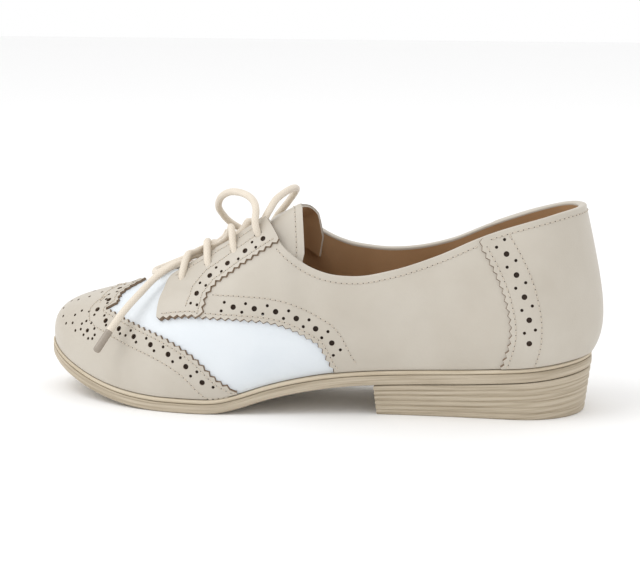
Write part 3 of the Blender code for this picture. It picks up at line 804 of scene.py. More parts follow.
@dataclass(frozen=True)
class StackedRubber:
    """Moulded rubber in the tan of stacked leather, with streaks drawn along the sole's edge."""

    name: str
    colour: str
    light: str
    dark: str
    roughness: float = 0.55
    streak_mm: float = 1.1
    streak_run_mm: float = 42.0

    def make(self) -> bpy.types.Material:
        """Build the material."""
        material, tree, shader = new_material(self.name)
        where = add_node(tree, "UVMap", uv_map="UVMap").outputs["UV"]
        drawn = add_node(
            tree, "Mapping", {"Scale": (1 / (self.streak_run_mm * MM), 1 / (self.streak_mm * MM), 1.0)},
            {"Vector": where},
        )
        streak = add_node(tree, "TexNoise", {"Scale": 1.0, "Detail": 3.0, "Roughness": 0.6},
                          {"Vector": drawn.outputs["Vector"]})
        ramp = add_node(tree, "ValToRGB", None, {"Fac": streak.outputs["Fac"]})
        ramp.color_ramp.elements[0].position = 0.32
        ramp.color_ramp.elements[0].color = linear(self.dark)
        ramp.color_ramp.elements[1].position = 0.7
        ramp.color_ramp.elements[1].color = linear(self.light)
        middle = ramp.color_ramp.elements.new(0.5)
        middle.color = linear(self.colour)
        tree.links.new(ramp.outputs["Color"], shader.inputs["Base Color"])
        bump = add_node(
            tree, "Bump", {"Strength": 0.4, "Distance": 0.08 * MM}, {"Height": streak.outputs["Fac"]},
        )
        tree.links.new(bump.outputs["Normal"], shader.inputs["Normal"])
        shader.inputs["Roughness"].default_value = self.roughness
        shader.inputs["IOR"].default_value = 1.52
        return material


@dataclass(frozen=True)
class WaxedCord:
    """Waxed cotton cord: fine strands that cross on the slant under a smooth skin, coarse enough to show."""

    name: str
    colour: str
    shade: str
    strand_mm: float = 0.8
    strands: float = 7.0
    relief_mm: float = 0.07
    roughness: float = 0.5

    def make(self) -> bpy.types.Material:
        """Build the material."""
        material, tree, shader = new_material(self.name)
        where = add_node(tree, "UVMap", uv_map="UVMap").outputs["UV"]
        split = add_node(tree, "SeparateXYZ", None, {"Vector": where})
        along = add_node(tree, "Math", {1: math.pi / (self.strand_mm * MM)}, {0: split.outputs["X"]},
                         operation="MULTIPLY")
        around = add_node(tree, "Math", {1: 2 * math.pi * self.strands}, {0: split.outputs["Y"]},
                          operation="MULTIPLY")
        waves = []
        for operation in ("ADD", "SUBTRACT"):
            slant = add_node(
                tree, "Math", None, {0: along.outputs[0], 1: around.outputs[0]}, operation=operation,
            )
            waves.append(add_node(tree, "Math", None, {0: slant.outputs[0]}, operation="SINE"))
        weave = add_node(
            tree, "Math", None, {0: waves[0].outputs[0], 1: waves[1].outputs[0]}, operation="MAXIMUM",
        )
        body = add_node(tree, "TexCoord").outputs["Object"]
        drift = add_node(tree, "TexNoise", {"Scale": 1 / (6.0 * MM), "Detail": 3.0}, {"Vector": body})
        # The cord is painted darker in the grooves between its strands, as shade, and its tone also drifts at
        # random.
        both = add_node(tree, "Math", {1: 0.3, 2: -0.1}, {0: weave.outputs[0]}, operation="MULTIPLY_ADD")
        share = add_node(tree, "Math", None, {0: both.outputs[0], 1: drift.outputs["Fac"]}, operation="ADD")
        colour = add_node(tree, "Mix", None, {"Factor": share.outputs[0]}, data_type="RGBA")
        colour.inputs[6].default_value = linear(self.shade)
        colour.inputs[7].default_value = linear(self.colour)
        tree.links.new(colour.outputs[2], shader.inputs["Base Color"])
        bump = add_node(
            tree, "Bump", {"Strength": 0.5, "Distance": self.relief_mm * MM}, {"Height": weave.outputs[0]},
        )
        tree.links.new(bump.outputs["Normal"], shader.inputs["Normal"])
        shader.inputs["Roughness"].default_value = self.roughness
        shader.inputs["Sheen Weight"].default_value = 0.1
        return material


@dataclass(frozen=True)
class PlainFinish:
    """A small even surface, such as thread or a moulded tip, with a faint fleck."""

    name: str
    colour: str
    shade: str
    roughness: float
    fleck_mm: float = 0.8

    def make(self) -> bpy.types.Material:
        """Build the material."""
        material, tree, shader = new_material(self.name)
        where = add_node(tree, "TexCoord").outputs["Object"]
        fleck = add_node(
            tree, "TexNoise", {"Scale": 1 / (self.fleck_mm * MM), "Detail": 2.0}, {"Vector": where},
        )
        colour = add_node(tree, "Mix", None, {"Factor": fleck.outputs["Fac"]}, data_type="RGBA")
        colour.inputs[6].default_value = linear(self.colour)
        colour.inputs[7].default_value = linear(self.shade)
        tree.links.new(colour.outputs[2], shader.inputs["Base Color"])
        shader.inputs["Roughness"].default_value = self.roughness
        return material


@dataclass
class Finishes:
    """Every finish of the shoe, made once."""

    def __post_init__(self) -> None:
        """Make the materials."""
        # Corrected-grain calf, warm beige: smooth and satin
        self.beige = Leather("beige_calf_leather", "#C3BCB0", "#BBB3A6", 0.46, coat=0.08).make()
        # Coated white leather: cooler, smoother and a little glossier
        self.white = Leather("white_coated_leather", "#E0E5E9", "#DAE0E5", 0.36, grain_mm=1.2, relief_mm=0.03,
                             coat=0.12).make()
        # Pigskin lining: matt brown
        lining = Leather("pigskin_lining", "#B8946F", "#A9855F", 0.62, grain_mm=1.4, relief_mm=0.06)
        self.lining = lining.make()
        # Vegetable-tanned sock leather: pale tan, faintly polished
        self.sock = Leather("tan_sock_leather", "#BC9C7C", "#AE8E6E", 0.5, drift_mm=40.0).make()
        # Painted shade that shows through the punched holes and the needle holes as their dark inside: dark brown,
        # matt
        self.painted_shade = Leather("painted_shade_brown", "#43342A", "#362920", 0.8).make()
        # Cut edge of the leather, also on the walls of the punched holes: brown, matt, partly its raw colour and
        # partly painted shadow for the dark line under the pinked teeth
        self.edge = Leather("raw_edge_and_painted_shadow", "#7E6A57", "#6E5B49", 0.75).make()
        self.sole = StackedRubber("stacked_tan_rubber", "#B4A792", "#C2B6A2", "#9E907A").make()
        self.welt = StackedRubber("pale_tan_rubber", "#C4B7A0", "#CEC2AD", "#B7A88F", streak_mm=2.5).make()
        self.lace = WaxedCord("cream_waxed_cord", "#E3D9CA", "#D5C9B7").make()
        self.thread = PlainFinish("cream_thread", "#CFC5B6", "#BFB4A4", 0.6).make()
        self.tip = PlainFinish("clear_acetate_tip", "#A1968A", "#91877A", 0.25).make()


def show(item: bpy.types.Object, materials: Sequence[bpy.types.Material],
         stands_for: Sequence[str] = ()) -> bpy.types.Object:
    """Dress a finished piece and join it to the shoe's body.

    Args:
        item: the piece.
        materials: its material slots in order, unless it has them already.
        stands_for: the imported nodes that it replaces.

    Returns:
        The piece.
    """
    if not item.data.materials:
        for material in materials:
            item.data.materials.append(material)
    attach(item, BODY)
    if stands_for:
        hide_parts(*stands_for)
    LOG.info("%s: %d faces", item.name, len(item.data.polygons))
    return item


# Leather panels

LOWER_LAYER = (0.2, 1.3)
UPPER_LAYER = (1.36, 2.3)


@dataclass(frozen=True)
class BrogueStrip:
    """The punched border inside a pinked edge: large holes, pairs of small ones and two rows of stitches."""

    big: float = 1.3
    small: float = 0.74
    pitch: float = 10.5
    row: float = 4.5
    spread: float = 1.8
    stitch_rows: tuple[float, float] = (1.2, 9.4)

    def holes(self, line: SeamLine, inside: Spot, first: float = 0.0, last: float = 1.0) -> list[Punch]:
        """The border's holes along part of an edge.

        Args:
            line: the pinked edge.
            inside: a spot of the panel beside the edge's middle.
            first: share of the edge where the border starts.
            last: share of the edge where it ends.

        Returns:
            The holes.
        """
        rows = [line.beside(self.row + side * self.spread, inside) for side in (-1, 0, 1)]
        count = max(round(rows[1].length * (last - first) / self.pitch), 1)
        found = []
        for k in range(count):
            share = first + (last - first) * (k + 0.25) / count
            pair = first + (last - first) * (k + 0.75) / count
            found.append(Punch(rows[1].at_share(share), self.big))
            found += [Punch(row.at_share(pair), self.small) for row in (rows[0], rows[2])]
        return [hole for hole in found if hole.spot[1] > 0.035]


WING_STRIP = BrogueStrip()
QUARTER_STRIP = BrogueStrip(row=4.9, spread=2.0, stitch_rows=(1.2, 10.0))
FACING_STRIP = BrogueStrip(row=3.9, spread=1.7, stitch_rows=(1.2, 7.8))
COUNTER_STRIP = BrogueStrip(row=7.6, spread=2.4, stitch_rows=(1.6, 13.0))


@dataclass
class Panel:
    """A leather panel laid on the last, with a pinked edge at the far end of its rows."""

    name: str
    layer: tuple[float, float]
    tooth: float = 1.2
    tooth_pitch: float = 3.6
    rim: float = 0.16
    stops: list[float] = field(default_factory=list)
    phases: list[float | None] = field(default_factory=list)
    levels: list[float] = field(default_factory=list)
    ways: dict[tuple[int, float], Vector] = field(default_factory=dict)
    pinked_both: bool = False
    # How far the lower face reaches past the pinked teeth, baring the dark cut edge as a painted shadow line under
    # them
    shadow_lip: float = 0.42

    def where(self, a: float, b: float) -> Spot:
        """The spot for a share along the panel and a share across it, to its far edge."""
        raise NotImplementedError

    def hidden(self, a: float, b: float) -> bool:
        """True where another panel covers this one, whose holes then show this one's top painted dark as shade."""
        return False

    def edge(self, first: float, last: float, b: float = 1.0, count: int = 160) -> SeamLine:
        """The line of the panel at a share across it."""
        return SeamLine([self.where(first + (last - first) * k / count, b) for k in range(count + 1)])

    def pink(self, first: float, last: float) -> None:
        """Add stops along the far edge for its teeth, four to a tooth and at an even pitch."""
        count = 240
        shares = [first + (last - first) * k / count for k in range(count + 1)]
        marks = self.edge(first, last, count=count).marks
        teeth = max(round(marks[-1] / self.tooth_pitch), 1)
        for k in range(4 * teeth + 1):
            self.stops.append(float(np.interp(marks[-1] * k / (4 * teeth), marks, shares)))
            self.phases.append((0.0, 0.5, 1.0, 0.5)[k % 4])

    def run_plain(self, first: float, last: float, step: float) -> None:
        """Add plain stops, leaving out the last one."""
        count = max(round(self.edge(first, last, count=60).length / step), 2)
        self.stops += [first + (last - first) * k / count for k in range(count)]
        self.phases += [None] * count

    def rows(self, count: int, crowd: float = 1.5) -> None:
        """Set the rows across the panel, closer together towards the pinked edge."""
        self.levels = [1 - (1 - k / count) ** crowd for k in range(count + 1)]

    def outward(self, i: int, edge: float, inner: float) -> Vector:
        """Direction over the wall out of a pinked edge, square to it, at a stop."""
        key = (i, edge)
        if key not in self.ways:
            ends = [self.stops[k] for k in (max(i - 2, 0), min(i + 2, len(self.stops) - 1))]
            before, after = (LAST.frame_at(*self.where(a, edge))[0] for a in ends)
            here, normal = LAST.frame_at(*self.where(self.stops[i], edge))
            way = normal.cross(after - before).normalized()
            root = LAST.frame_at(*self.where(self.stops[i], inner))[0]
            self.ways[key] = way if way.dot(here - root) > 0 else -way
        return self.ways[key]

    def toothed(self, i: int, j: int, spare: float) -> Spot:
        """The spot of a grid point, drawn out to a tooth near a pinked edge.

        Args:
            i: number of the stop.
            j: number of the row.
            spare: how far past the tooth the edge itself goes, baring the dark cut edge as a painted shadow line
                under the tooth.

        Returns:
            The spot.
        """
        spot = self.where(self.stops[i], self.levels[j])
        phase = self.phases[i]
        weights = (1.0, 0.4, 0.1)
        ends = [(len(self.levels) - 1 - j, 1.0, 0.97)]
        if self.pinked_both:
            ends.append((j, 0.0, 0.03))
        for steps, edge, inner in ends:
            if phase is not None and steps < len(weights):
                push = phase * self.tooth * weights[steps] + (spare if steps == 0 else 0.0)
                spot = LAST.nearest(LAST.frame_at(*spot)[0] + self.outward(i, edge, inner) * push, spot)
        return spot[0], max(spot[1], 0.0)

    def build(self, finishes: Finishes, holes: Sequence[Punch] = ()) -> bpy.types.Object:
        """Model the panel with its pinked edge, rounded rim and holes."""
        columns, rows = len(self.stops) - 1, len(self.levels) - 1
        bm = unit_block(columns, rows)
        rim = rim_edges(bm)
        for face in bm.faces:
            middle = face.calc_center_median()
            i = min(int(middle.x * columns), columns)
            j = min(int(middle.y * rows), rows)
            # Side faces take the cut edge's colour (slot 2). The underside, and the top where another panel covers
            # it, take the dark painted shade (slot 1) seen through holes.
            covered = middle.z > 0.9 and self.hidden(self.stops[i], self.levels[j])
            face.material_index = 2 if 0.1 < middle.z < 0.9 else int(covered or middle.z < 0.1)
        spots = {}

        def shape(x: float, y: float, layer: float) -> Vector:
            """A point's place in the model."""
            low = round(layer) == 0
            key = (round(x * columns), round(y * rows), low)
            if key not in spots:
                spots[key] = self.toothed(*key[:2], self.shadow_lip if low else 0.0)
            return LAST.point(*spots[key], self.layer[round(layer)])

        lay_out(bm, shape)
        bmesh.ops.bevel(bm, geom=rim, offset=self.rim * MM, offset_type="OFFSET", segments=2, profile=0.5,
                        affect="EDGES", clamp_overlap=True, material=-1)
        item = finish_mesh(self.name, bm, weld=False)
        for material in (finishes.beige, finishes.painted_shade, finishes.edge):
            item.data.materials.append(material)
        if holes:
            punch(item, holes, wall_slot=2)
        return item


EYELET_STATIONS = (189.5, 177.5, 165.5, 154.5)
EYELET_ASIDE = {1: (6.4, 6.4, 6.4, 6.4), -1: (6.4, 6.4, 6.4, 4.2)}
EYELET_RADIUS = 2.0


def eyelets(side: int) -> list[Punch]:
    """The plain punched eyelets of one facing, at a distance from the throat's edge."""
    found = []
    for station, aside in zip(EYELET_STATIONS, EYELET_ASIDE[side]):
        angle = LAST.angle_at_gap(side, station, LAST.throat_gap + 1.0)
        edge = LAST.turn_and_climb(side, station, angle)
        found.append(Punch(LAST.walk(edge, Vector((0, side, 0)), aside), EYELET_RADIUS))
    return found


@dataclass
class WingCap(Panel):
    """The toe piece with wings along the sides, a point over the vamp and a medallion of dots."""

    peak: float = 215.0
    valley: float = 223.0
    valley_y: float = 20.0
    heart: float = 240.0
    dot: float = 0.72

    def __post_init__(self) -> None:
        """Set out the grid."""
        self.height = Profile(EDGE_COLUMNS, WING_EDGE, "height")
        self.start = LAST.turn_and_climb(1, WING_EDGE[0][0], 0.0)[0]
        self.climbs: dict[float, float] = {}
        self.pink(0.0, 1.0)
        self.phases = [phase if 0.012 < a < 0.988 else 0.0 for phase, a in zip(self.phases, self.stops)]
        self.rows(30)

    def past_edge(self, side: int, station: float, angle: float) -> bool:
        """True behind the pinked edge: along the sides, then two hollows and a point over the toe."""
        point = LAST.section_point(side, station, angle)
        aside = abs(point.y - LAST.spine(station))
        if aside <= self.valley_y:
            rise = smooth_step(self.valley_y * 0.75, 0.0, aside)
            return station < self.valley - (self.valley - self.peak) * rise
        return point.z - LAST.feather(station) > self.height(station)

    def where(self, a: float, b: float) -> Spot:
        """From the end of the outer wing round the toe to the end of the inner one."""
        turn = self.start + (2 - 2 * self.start) * a
        if turn not in self.climbs:
            self.climbs[turn] = max(LAST.climb_until(turn, self.past_edge), 0.006)
        return turn, b * self.climbs[turn]

    def medallion(self, border: list[Punch]) -> list[Punch]:
        """The toe's pattern, clear of the border: a leaf, a volute on each side and a row in front."""
        leaf = [
            (8.4 * math.sin(t), -12.6 * math.cos(t))
            for t in (2 * math.pi * k / 12 for k in range(12))
        ]
        trail = ((43, -18), (39, -15), (34, -12), (29, -9), (24.2, -5.2), (20.4, -1.2), (17.8, 3.2), (18, 8),
                 (21.4, 11.6), (26.4, 13))
        ring = [
            (30.6 + 5.6 * math.cos(t), 3.2 + 5.2 * math.sin(t))
            for t in (2 * math.pi * k / 9 for k in range(9))
        ]
        front = ((6.2, 15.6), (12.4, 16.6), (18.2, 17.0))
        dots = leaf + [(0.0, 19.4)]
        for row in (trail, ring, front):
            dots += [(sign * across, along) for across, along in row for sign in (1, -1)]
        eyes = [(0.0, 0.0), (30.6, 3.2), (-30.6, 3.2)]
        heart = LAST.turn_and_climb(1, self.heart, math.pi / 2 * 0.999)
        holes: list[Punch] = []
        for radius, group in ((self.dot * 1.45, eyes), (self.dot, dots)):
            for across, along in group:
                middle = LAST.walk(heart, Vector((math.copysign(1.0, along), 0, 0)), abs(along))
                spot = LAST.walk(middle, Vector((0, math.copysign(1.0, across), 0)), abs(across))
                if Punch(spot, radius).clear_of(border + holes):
                    holes.append(Punch(spot, radius))
        return holes

    def dress(self, finishes: Finishes) -> None:
        """Build the wing cap and its stitches."""
        line = self.edge(0.0, 1.0, count=260)
        inside = self.where(0.5, 0.8)
        border = WING_STRIP.holes(line, inside, 0.015, 0.985)
        item = self.build(finishes, border + self.medallion(border))
        show(item, [], ["wing_cap"])
        bm = bmesh.new()
        for row in WING_STRIP.stitch_rows:
            THREAD.sew_line(bm, line.beside(row, inside), self.layer[1])
        show(finish_mesh("wing_cap_stitches", bm), [finishes.thread, finishes.painted_shade])


@dataclass
class Quarter(Panel):
    """One quarter, from the back seam to the front of its facing, pinked over the rear of the vamp."""

    side: int = 1
    seam: float = 0.004
    front_top: float = 194.0
    lag_from: float = 140.0
    setback: float = 1.0

    def __post_init__(self) -> None:
        """Set out the grid: a stop is a station."""
        self.low = Profile(EDGE_COLUMNS, QUARTER_EDGE, "height")
        self.counter = Profile(COUNTER_COLUMNS, COUNTER_EDGE, "station")
        self.first = float(QUARTER_EDGE[0][0])
        self.front = float(QUARTER_EDGE[-1][0])
        self.tops: dict[float, Spot] = {}
        self.run_plain(0.0, self.first, 2.4)
        self.pink(self.first, self.front)
        self.rows(34, 1.35)

    def top(self, station: float) -> Spot:
        """The top edge at a station, a little short of the upper's own edge."""
        if station not in self.tops:
            gap = LAST.throat_gap + self.setback
            if station > LAST.ball:
                angle = LAST.angle_at_gap(self.side, station, gap)
                self.tops[station] = LAST.turn_and_climb(self.side, station, angle)
            else:
                turn = self.side * max(LAST.heel_turn * station / LAST.heel_centre, self.seam)
                if station >= LAST.heel_centre:
                    turn = LAST.turn_and_climb(self.side, station, 0.0)[0]
                self.tops[station] = (turn, LAST.top_climb(turn, gap))
        return self.tops[station]

    def where(self, a: float, b: float) -> Spot:
        """From the top edge down to the sole or to the pinked edge."""
        lag = (self.front - self.front_top) * smooth_step(self.lag_from, self.front, a)
        top = self.top(a - lag)
        if a < LAST.heel_centre:
            low = (top[0], 0.0)
        else:
            height = self.low(a) if a > self.first else 0.0
            low = LAST.turn_and_climb(self.side, a, LAST.angle_at_height(a, height))
        return top[0] + (low[0] - top[0]) * b, top[1] + (low[1] - top[1]) * b

    def hidden(self, a: float, b: float) -> bool:
        """True under the facing and under the heel counter."""
        here = LAST.frame_at(*self.where(a, b))[0]
        height = here.z - LAST.feather(a)
        if a > 178:
            return height > self.low(a) + 3.0
        if a > 146:
            rows = FACING_EDGE[:5]
            return height > float(np.interp(here.x, [r[0] for r in rows], [r[1] for r in rows])) + 2.0
        return a < self.counter(min(height, COUNTER_EDGE[-1][0])) - 2.0

    def dress(self, finishes: Finishes) -> None:
        """Build the quarter and its stitches."""
        line = self.edge(self.first, self.front, count=240)
        inside = self.where((self.first + self.front) / 2, 0.6)
        holes = QUARTER_STRIP.holes(line, inside, 0.02, 0.70)
        item = self.build(finishes, holes + eyelets(self.side))
        show(item, [], [self.name])
        bm = bmesh.new()
        outer = line.beside(QUARTER_STRIP.stitch_rows[0], inside)
        THREAD.sew_line(bm, outer, self.layer[1], 0.02, 0.985)
        inner = line.beside(QUARTER_STRIP.stitch_rows[1], inside)
        THREAD.sew_line(bm, inner, self.layer[1], 0.0, 0.74)
        collar = SeamLine([self.top(s) for s in np.linspace(52.0, 142.0, 90)])
        below = self.where(97.0, 0.5)
        THREAD.sew_line(bm, collar.beside(2.6, below), self.layer[1])
        show(finish_mesh(self.name + "_stitches", bm), [finishes.thread, finishes.painted_shade])


@dataclass
class Facing(Panel):
    """The eyelet facing sewn on a quarter, with a pinked rear edge and a plain front."""

    quarter: Quarter | None = None
    top_station: float = 150.0
    inner_front: float = 194.0

    def __post_init__(self) -> None:
        """Set out the grid along the rear and lower edge."""
        self.stations = [row[0] for row in FACING_EDGE]
        self.heights = [row[1] for row in FACING_EDGE]
        steps = np.hypot(np.diff(self.stations), np.diff(self.heights))
        self.marks = np.concatenate([[0.0], np.cumsum(steps)]) / steps.sum()
        self.corner = float(self.marks[4])
        self.pink(0.0, self.corner)
        self.stops.pop()
        self.phases.pop()
        self.pink(self.corner, 1.0)
        self.rows(22, 1.3)

    def where(self, a: float, b: float) -> Spot:
        """From the throat's edge to the pinked edge and the lower front corner."""
        side = self.quarter.side
        station = float(np.interp(a, self.marks, self.stations))
        height = float(np.interp(a, self.marks, self.heights))
        rear = LAST.turn_and_climb(side, station, LAST.angle_at_height(station, height))
        inner = self.quarter.top(self.top_station + (self.inner_front - self.top_station) * a)
        return inner[0] + (rear[0] - inner[0]) * b, inner[1] + (rear[1] - inner[1]) * b

    def dress(self, finishes: Finishes) -> None:
        """Build the facing and its stitches."""
        line = self.edge(0.0, self.corner)
        inside = self.where(self.corner / 2, 0.6)
        holes = eyelets(self.quarter.side)
        holes += [hole for hole in FACING_STRIP.holes(line, inside, 0.07, 0.97) if hole.clear_of(holes)]
        item = self.build(finishes, holes)
        show(item, [], [self.name])
        bm = bmesh.new()
        THREAD.sew_line(bm, line.beside(FACING_STRIP.stitch_rows[0], inside), self.layer[1], 0.03, 1.0)
        THREAD.sew_line(bm, line.beside(FACING_STRIP.stitch_rows[1], inside), self.layer[1], 0.12, 0.96)
        throat = self.edge(0.05, 0.97, 0.0)
        THREAD.sew_line(bm, throat.beside(3.0, self.where(0.5, 0.3)), self.layer[1])
        foot = self.edge(self.corner, 0.99)
        hem = foot.beside(FACING_STRIP.stitch_rows[0], self.where((self.corner + 1) / 2, 0.8))
        THREAD.sew_line(bm, hem, self.layer[1])
        show(finish_mesh(self.name + "_stitches", bm), [finishes.thread, finishes.painted_shade])


@dataclass
class HeelCounter(Panel):
    """The heel piece, wrapped round the back from one pinked edge to the other."""

    def __post_init__(self) -> None:
        """Set out the grid: a stop is a share of the way up, a level a share of the way round."""
        self.station = Profile(COUNTER_COLUMNS, COUNTER_EDGE, "station")
        self.spots: dict[Spot, Spot] = {}
        self.pinked_both = True
        self.pink(0.0, 1.0)
        self.levels = [(1 - math.cos(math.pi * k / 56)) / 2 for k in range(57)]

    def where(self, a: float, b: float) -> Spot:
        """From the inner edge round the heel to the outer one."""
        if (a, b) not in self.spots:
            swing = 2 * b - 1
            side = 1 if swing >= 0 else -1
            climb = a * LAST.top_climb(0.0)
            turn = 0.0
            for _ in range(4):
                edge_spot = LAST.spot(side * LAST.heel_turn, climb)
                rise = LAST.section_point(*edge_spot).z - LAST.feather(edge_spot[1])
                edge = self.station(min(rise, COUNTER_EDGE[-1][0]))
                turn = swing * abs(LAST.turn_and_climb(side, max(edge, LAST.heel_centre), 0.0)[0])
                climb = a * LAST.top_climb(turn)
            self.spots[(a, b)] = (turn, climb)
        return self.spots[(a, b)]

    def dress(self, finishes: Finishes) -> None:
        """Build the counter and its stitches."""
        holes: list[Punch] = []
        bm = bmesh.new()
        for b, within in ((0.0, 0.2), (1.0, 0.8)):
            line = self.edge(0.0, 1.0, b, 90)
            inside = self.where(0.5, within)
            holes += COUNTER_STRIP.holes(line, inside, 0.02, 0.97)
            for row in COUNTER_STRIP.stitch_rows:
                THREAD.sew_line(bm, line.beside(row, inside), self.layer[1], 0.02, 0.96)
        top = SeamLine([self.where(0.965, b) for b in np.linspace(0.03, 0.97, 80)])
        THREAD.sew_line(bm, top, self.layer[1])
        show(self.build(finishes, holes), [], [self.name])
        show(finish_mesh("heel_counter_stitches", bm), [finishes.thread, finishes.painted_shade])


# The upper, its rolled top edge and the tongue


@dataclass
class Upper:
    """The lined upper: one hollow shell, white where the vamp shows and painted dark under the sewn-on panels, as
    the shade seen through their holes.
    """

    wing: WingCap
    wall: float = 1.4
    columns: int = 360
    rows: int = 56

    def __post_init__(self) -> None:
        """Draw the quarters' lower edge."""
        self.quarter_low = Profile(EDGE_COLUMNS, QUARTER_EDGE, "height")

    def covered(self, turn: float, climb: float) -> bool:
        """True under the wing cap, a quarter or the counter."""
        side, station, angle = LAST.spot(turn, climb)
        height = LAST.section_point(side, station, angle).z - LAST.feather(station)
        if station < 112:
            return True
        if station < 188 and height > self.quarter_low(station) + 0.9:
            return True
        if station > 166:
            further = LAST.angle_at_height(station, height + 0.9)
            return not self.wing.past_edge(side, station - 1.2, LAST.angle_at_height(station - 1.2, height)) \
                and not self.wing.past_edge(side, station, further)
        return False

    def dress(self, finishes: Finishes) -> None:
        """Build the shell, with the eyelets cut through it."""
        tops = {i: LAST.top_climb(2 * i / self.columns - 1) for i in range(self.columns + 1)}
        tops[self.columns] = tops[0]

        def where(x: float, y: float) -> Spot:
            """The spot on the last of a point of the block."""
            return 2 * x - 1, y * tops[min(round(x * self.columns), self.columns)]

        bm = unit_block(self.columns, self.rows)
        for face in bm.faces:
            middle = face.calc_center_median()
            outside = middle.z > 0.9
            turn = 2 * middle.x - 1
            climb = middle.y * tops[min(int(middle.x * self.columns), self.columns)]
            # Outside faces under the sewn-on panels get the dark painted shade (slot 2) seen through their holes;
            # the inside is lining.
            face.material_index = (2 if self.covered(turn, climb) else 0) if outside else 1
        open_ends(bm)
        lay_out(bm, lambda x, y, layer: LAST.point(*where(x, y), -self.wall * (1 - round(layer))))
        item = finish_mesh("upper", bm)
        for material in (finishes.white, finishes.lining, finishes.painted_shade):
            item.data.materials.append(material)
        punch(item, eyelets(1) + eyelets(-1), wall_slot=1)
        show(item, [], ["upper"])


@dataclass
class RolledEdge:
    """The folded top edge of the quarters, along the throat and round the collar."""

    quarters: dict[int, Quarter]
    wall: float = 1.4
    over: float = 0.9
    depth: float = 3.0
    front: float = 193.0
    facing_from: float = 149.0
    along: int = 300
    around: int = 14

    def route(self) -> list[Spot]:
        """Spots of the top edge from the outer front, round the heel, to the inner front."""
        spots = []
        stations = [self.front * (1 - k / self.along) for k in range(self.along)]
        for side, order in ((1, stations), (-1, stations[::-1])):
            spots += [self.quarters[side].top(station) for station in order]
        return spots

    def outer(self, spot: Spot) -> float:
        """How far out the roll reaches: further where a facing or the counter is sewn on."""
        _, station, _ = LAST.spot(*spot)
        low, high = LOWER_LAYER[1], UPPER_LAYER[1]
        edge = COUNTER_EDGE[-1][1]
        on_counter = 1 - smooth_step(edge - 0.6, edge + 0.6, station)
        on_facing = smooth_step(self.facing_from - 4, self.facing_from + 1, station)
        return low + (high - low) * max(on_counter, on_facing) + 0.05

    def dress(self, finishes: Finishes) -> None:
        """Sweep the roll along the edge."""
        line = SeamLine(self.route())
        count = 2 * self.along
        spots = [line.at_share(k / count) for k in range(count + 1)]
        sections = []
        for spot in spots:
            here, normal = LAST.frame_at(*spot)
            lower = LAST.frame_at(spot[0], spot[1] - 0.01)[0]
            up = here - lower
            up = (up - normal * up.dot(normal)).normalized()
            sections.append((here, normal, up, self.outer(spot)))

        def shape(x: float, y: float, layer: float) -> Vector:
            """A point's place in the model."""
            here, normal, up, outer = sections[round(x * count)]
            angle = 2 * math.pi * y
            half = (outer + self.wall + 0.05) / 2
            middle = (outer - self.wall - 0.05) / 2
            across = math.copysign(abs(math.cos(angle)) ** 0.7, math.cos(angle))
            rise = math.copysign(abs(math.sin(angle)) ** 0.7, math.sin(angle))
            size = self.over if rise > 0 else self.depth
            shrink = 1.0 if rise > 0 else 1.0 - 0.12 * abs(rise)
            return here + normal * (middle + half * across * shrink) + up * (size * rise)

        bm = bmesh.new()
        bmesh.ops.create_grid(bm, x_segments=count, y_segments=self.around, size=0.5)
        bmesh.ops.translate(bm, verts=bm.verts[:], vec=(0.5, 0.5, 0))
        lay_out(bm, shape)
        bmesh.ops.remove_doubles(bm, verts=bm.verts[:], dist=2e-6)
        bmesh.ops.holes_fill(bm, edges=[edge for edge in bm.edges if edge.is_boundary], sides=0)
        show(finish_mesh("rolled_top_edge", bm, 60.0), [finishes.beige])


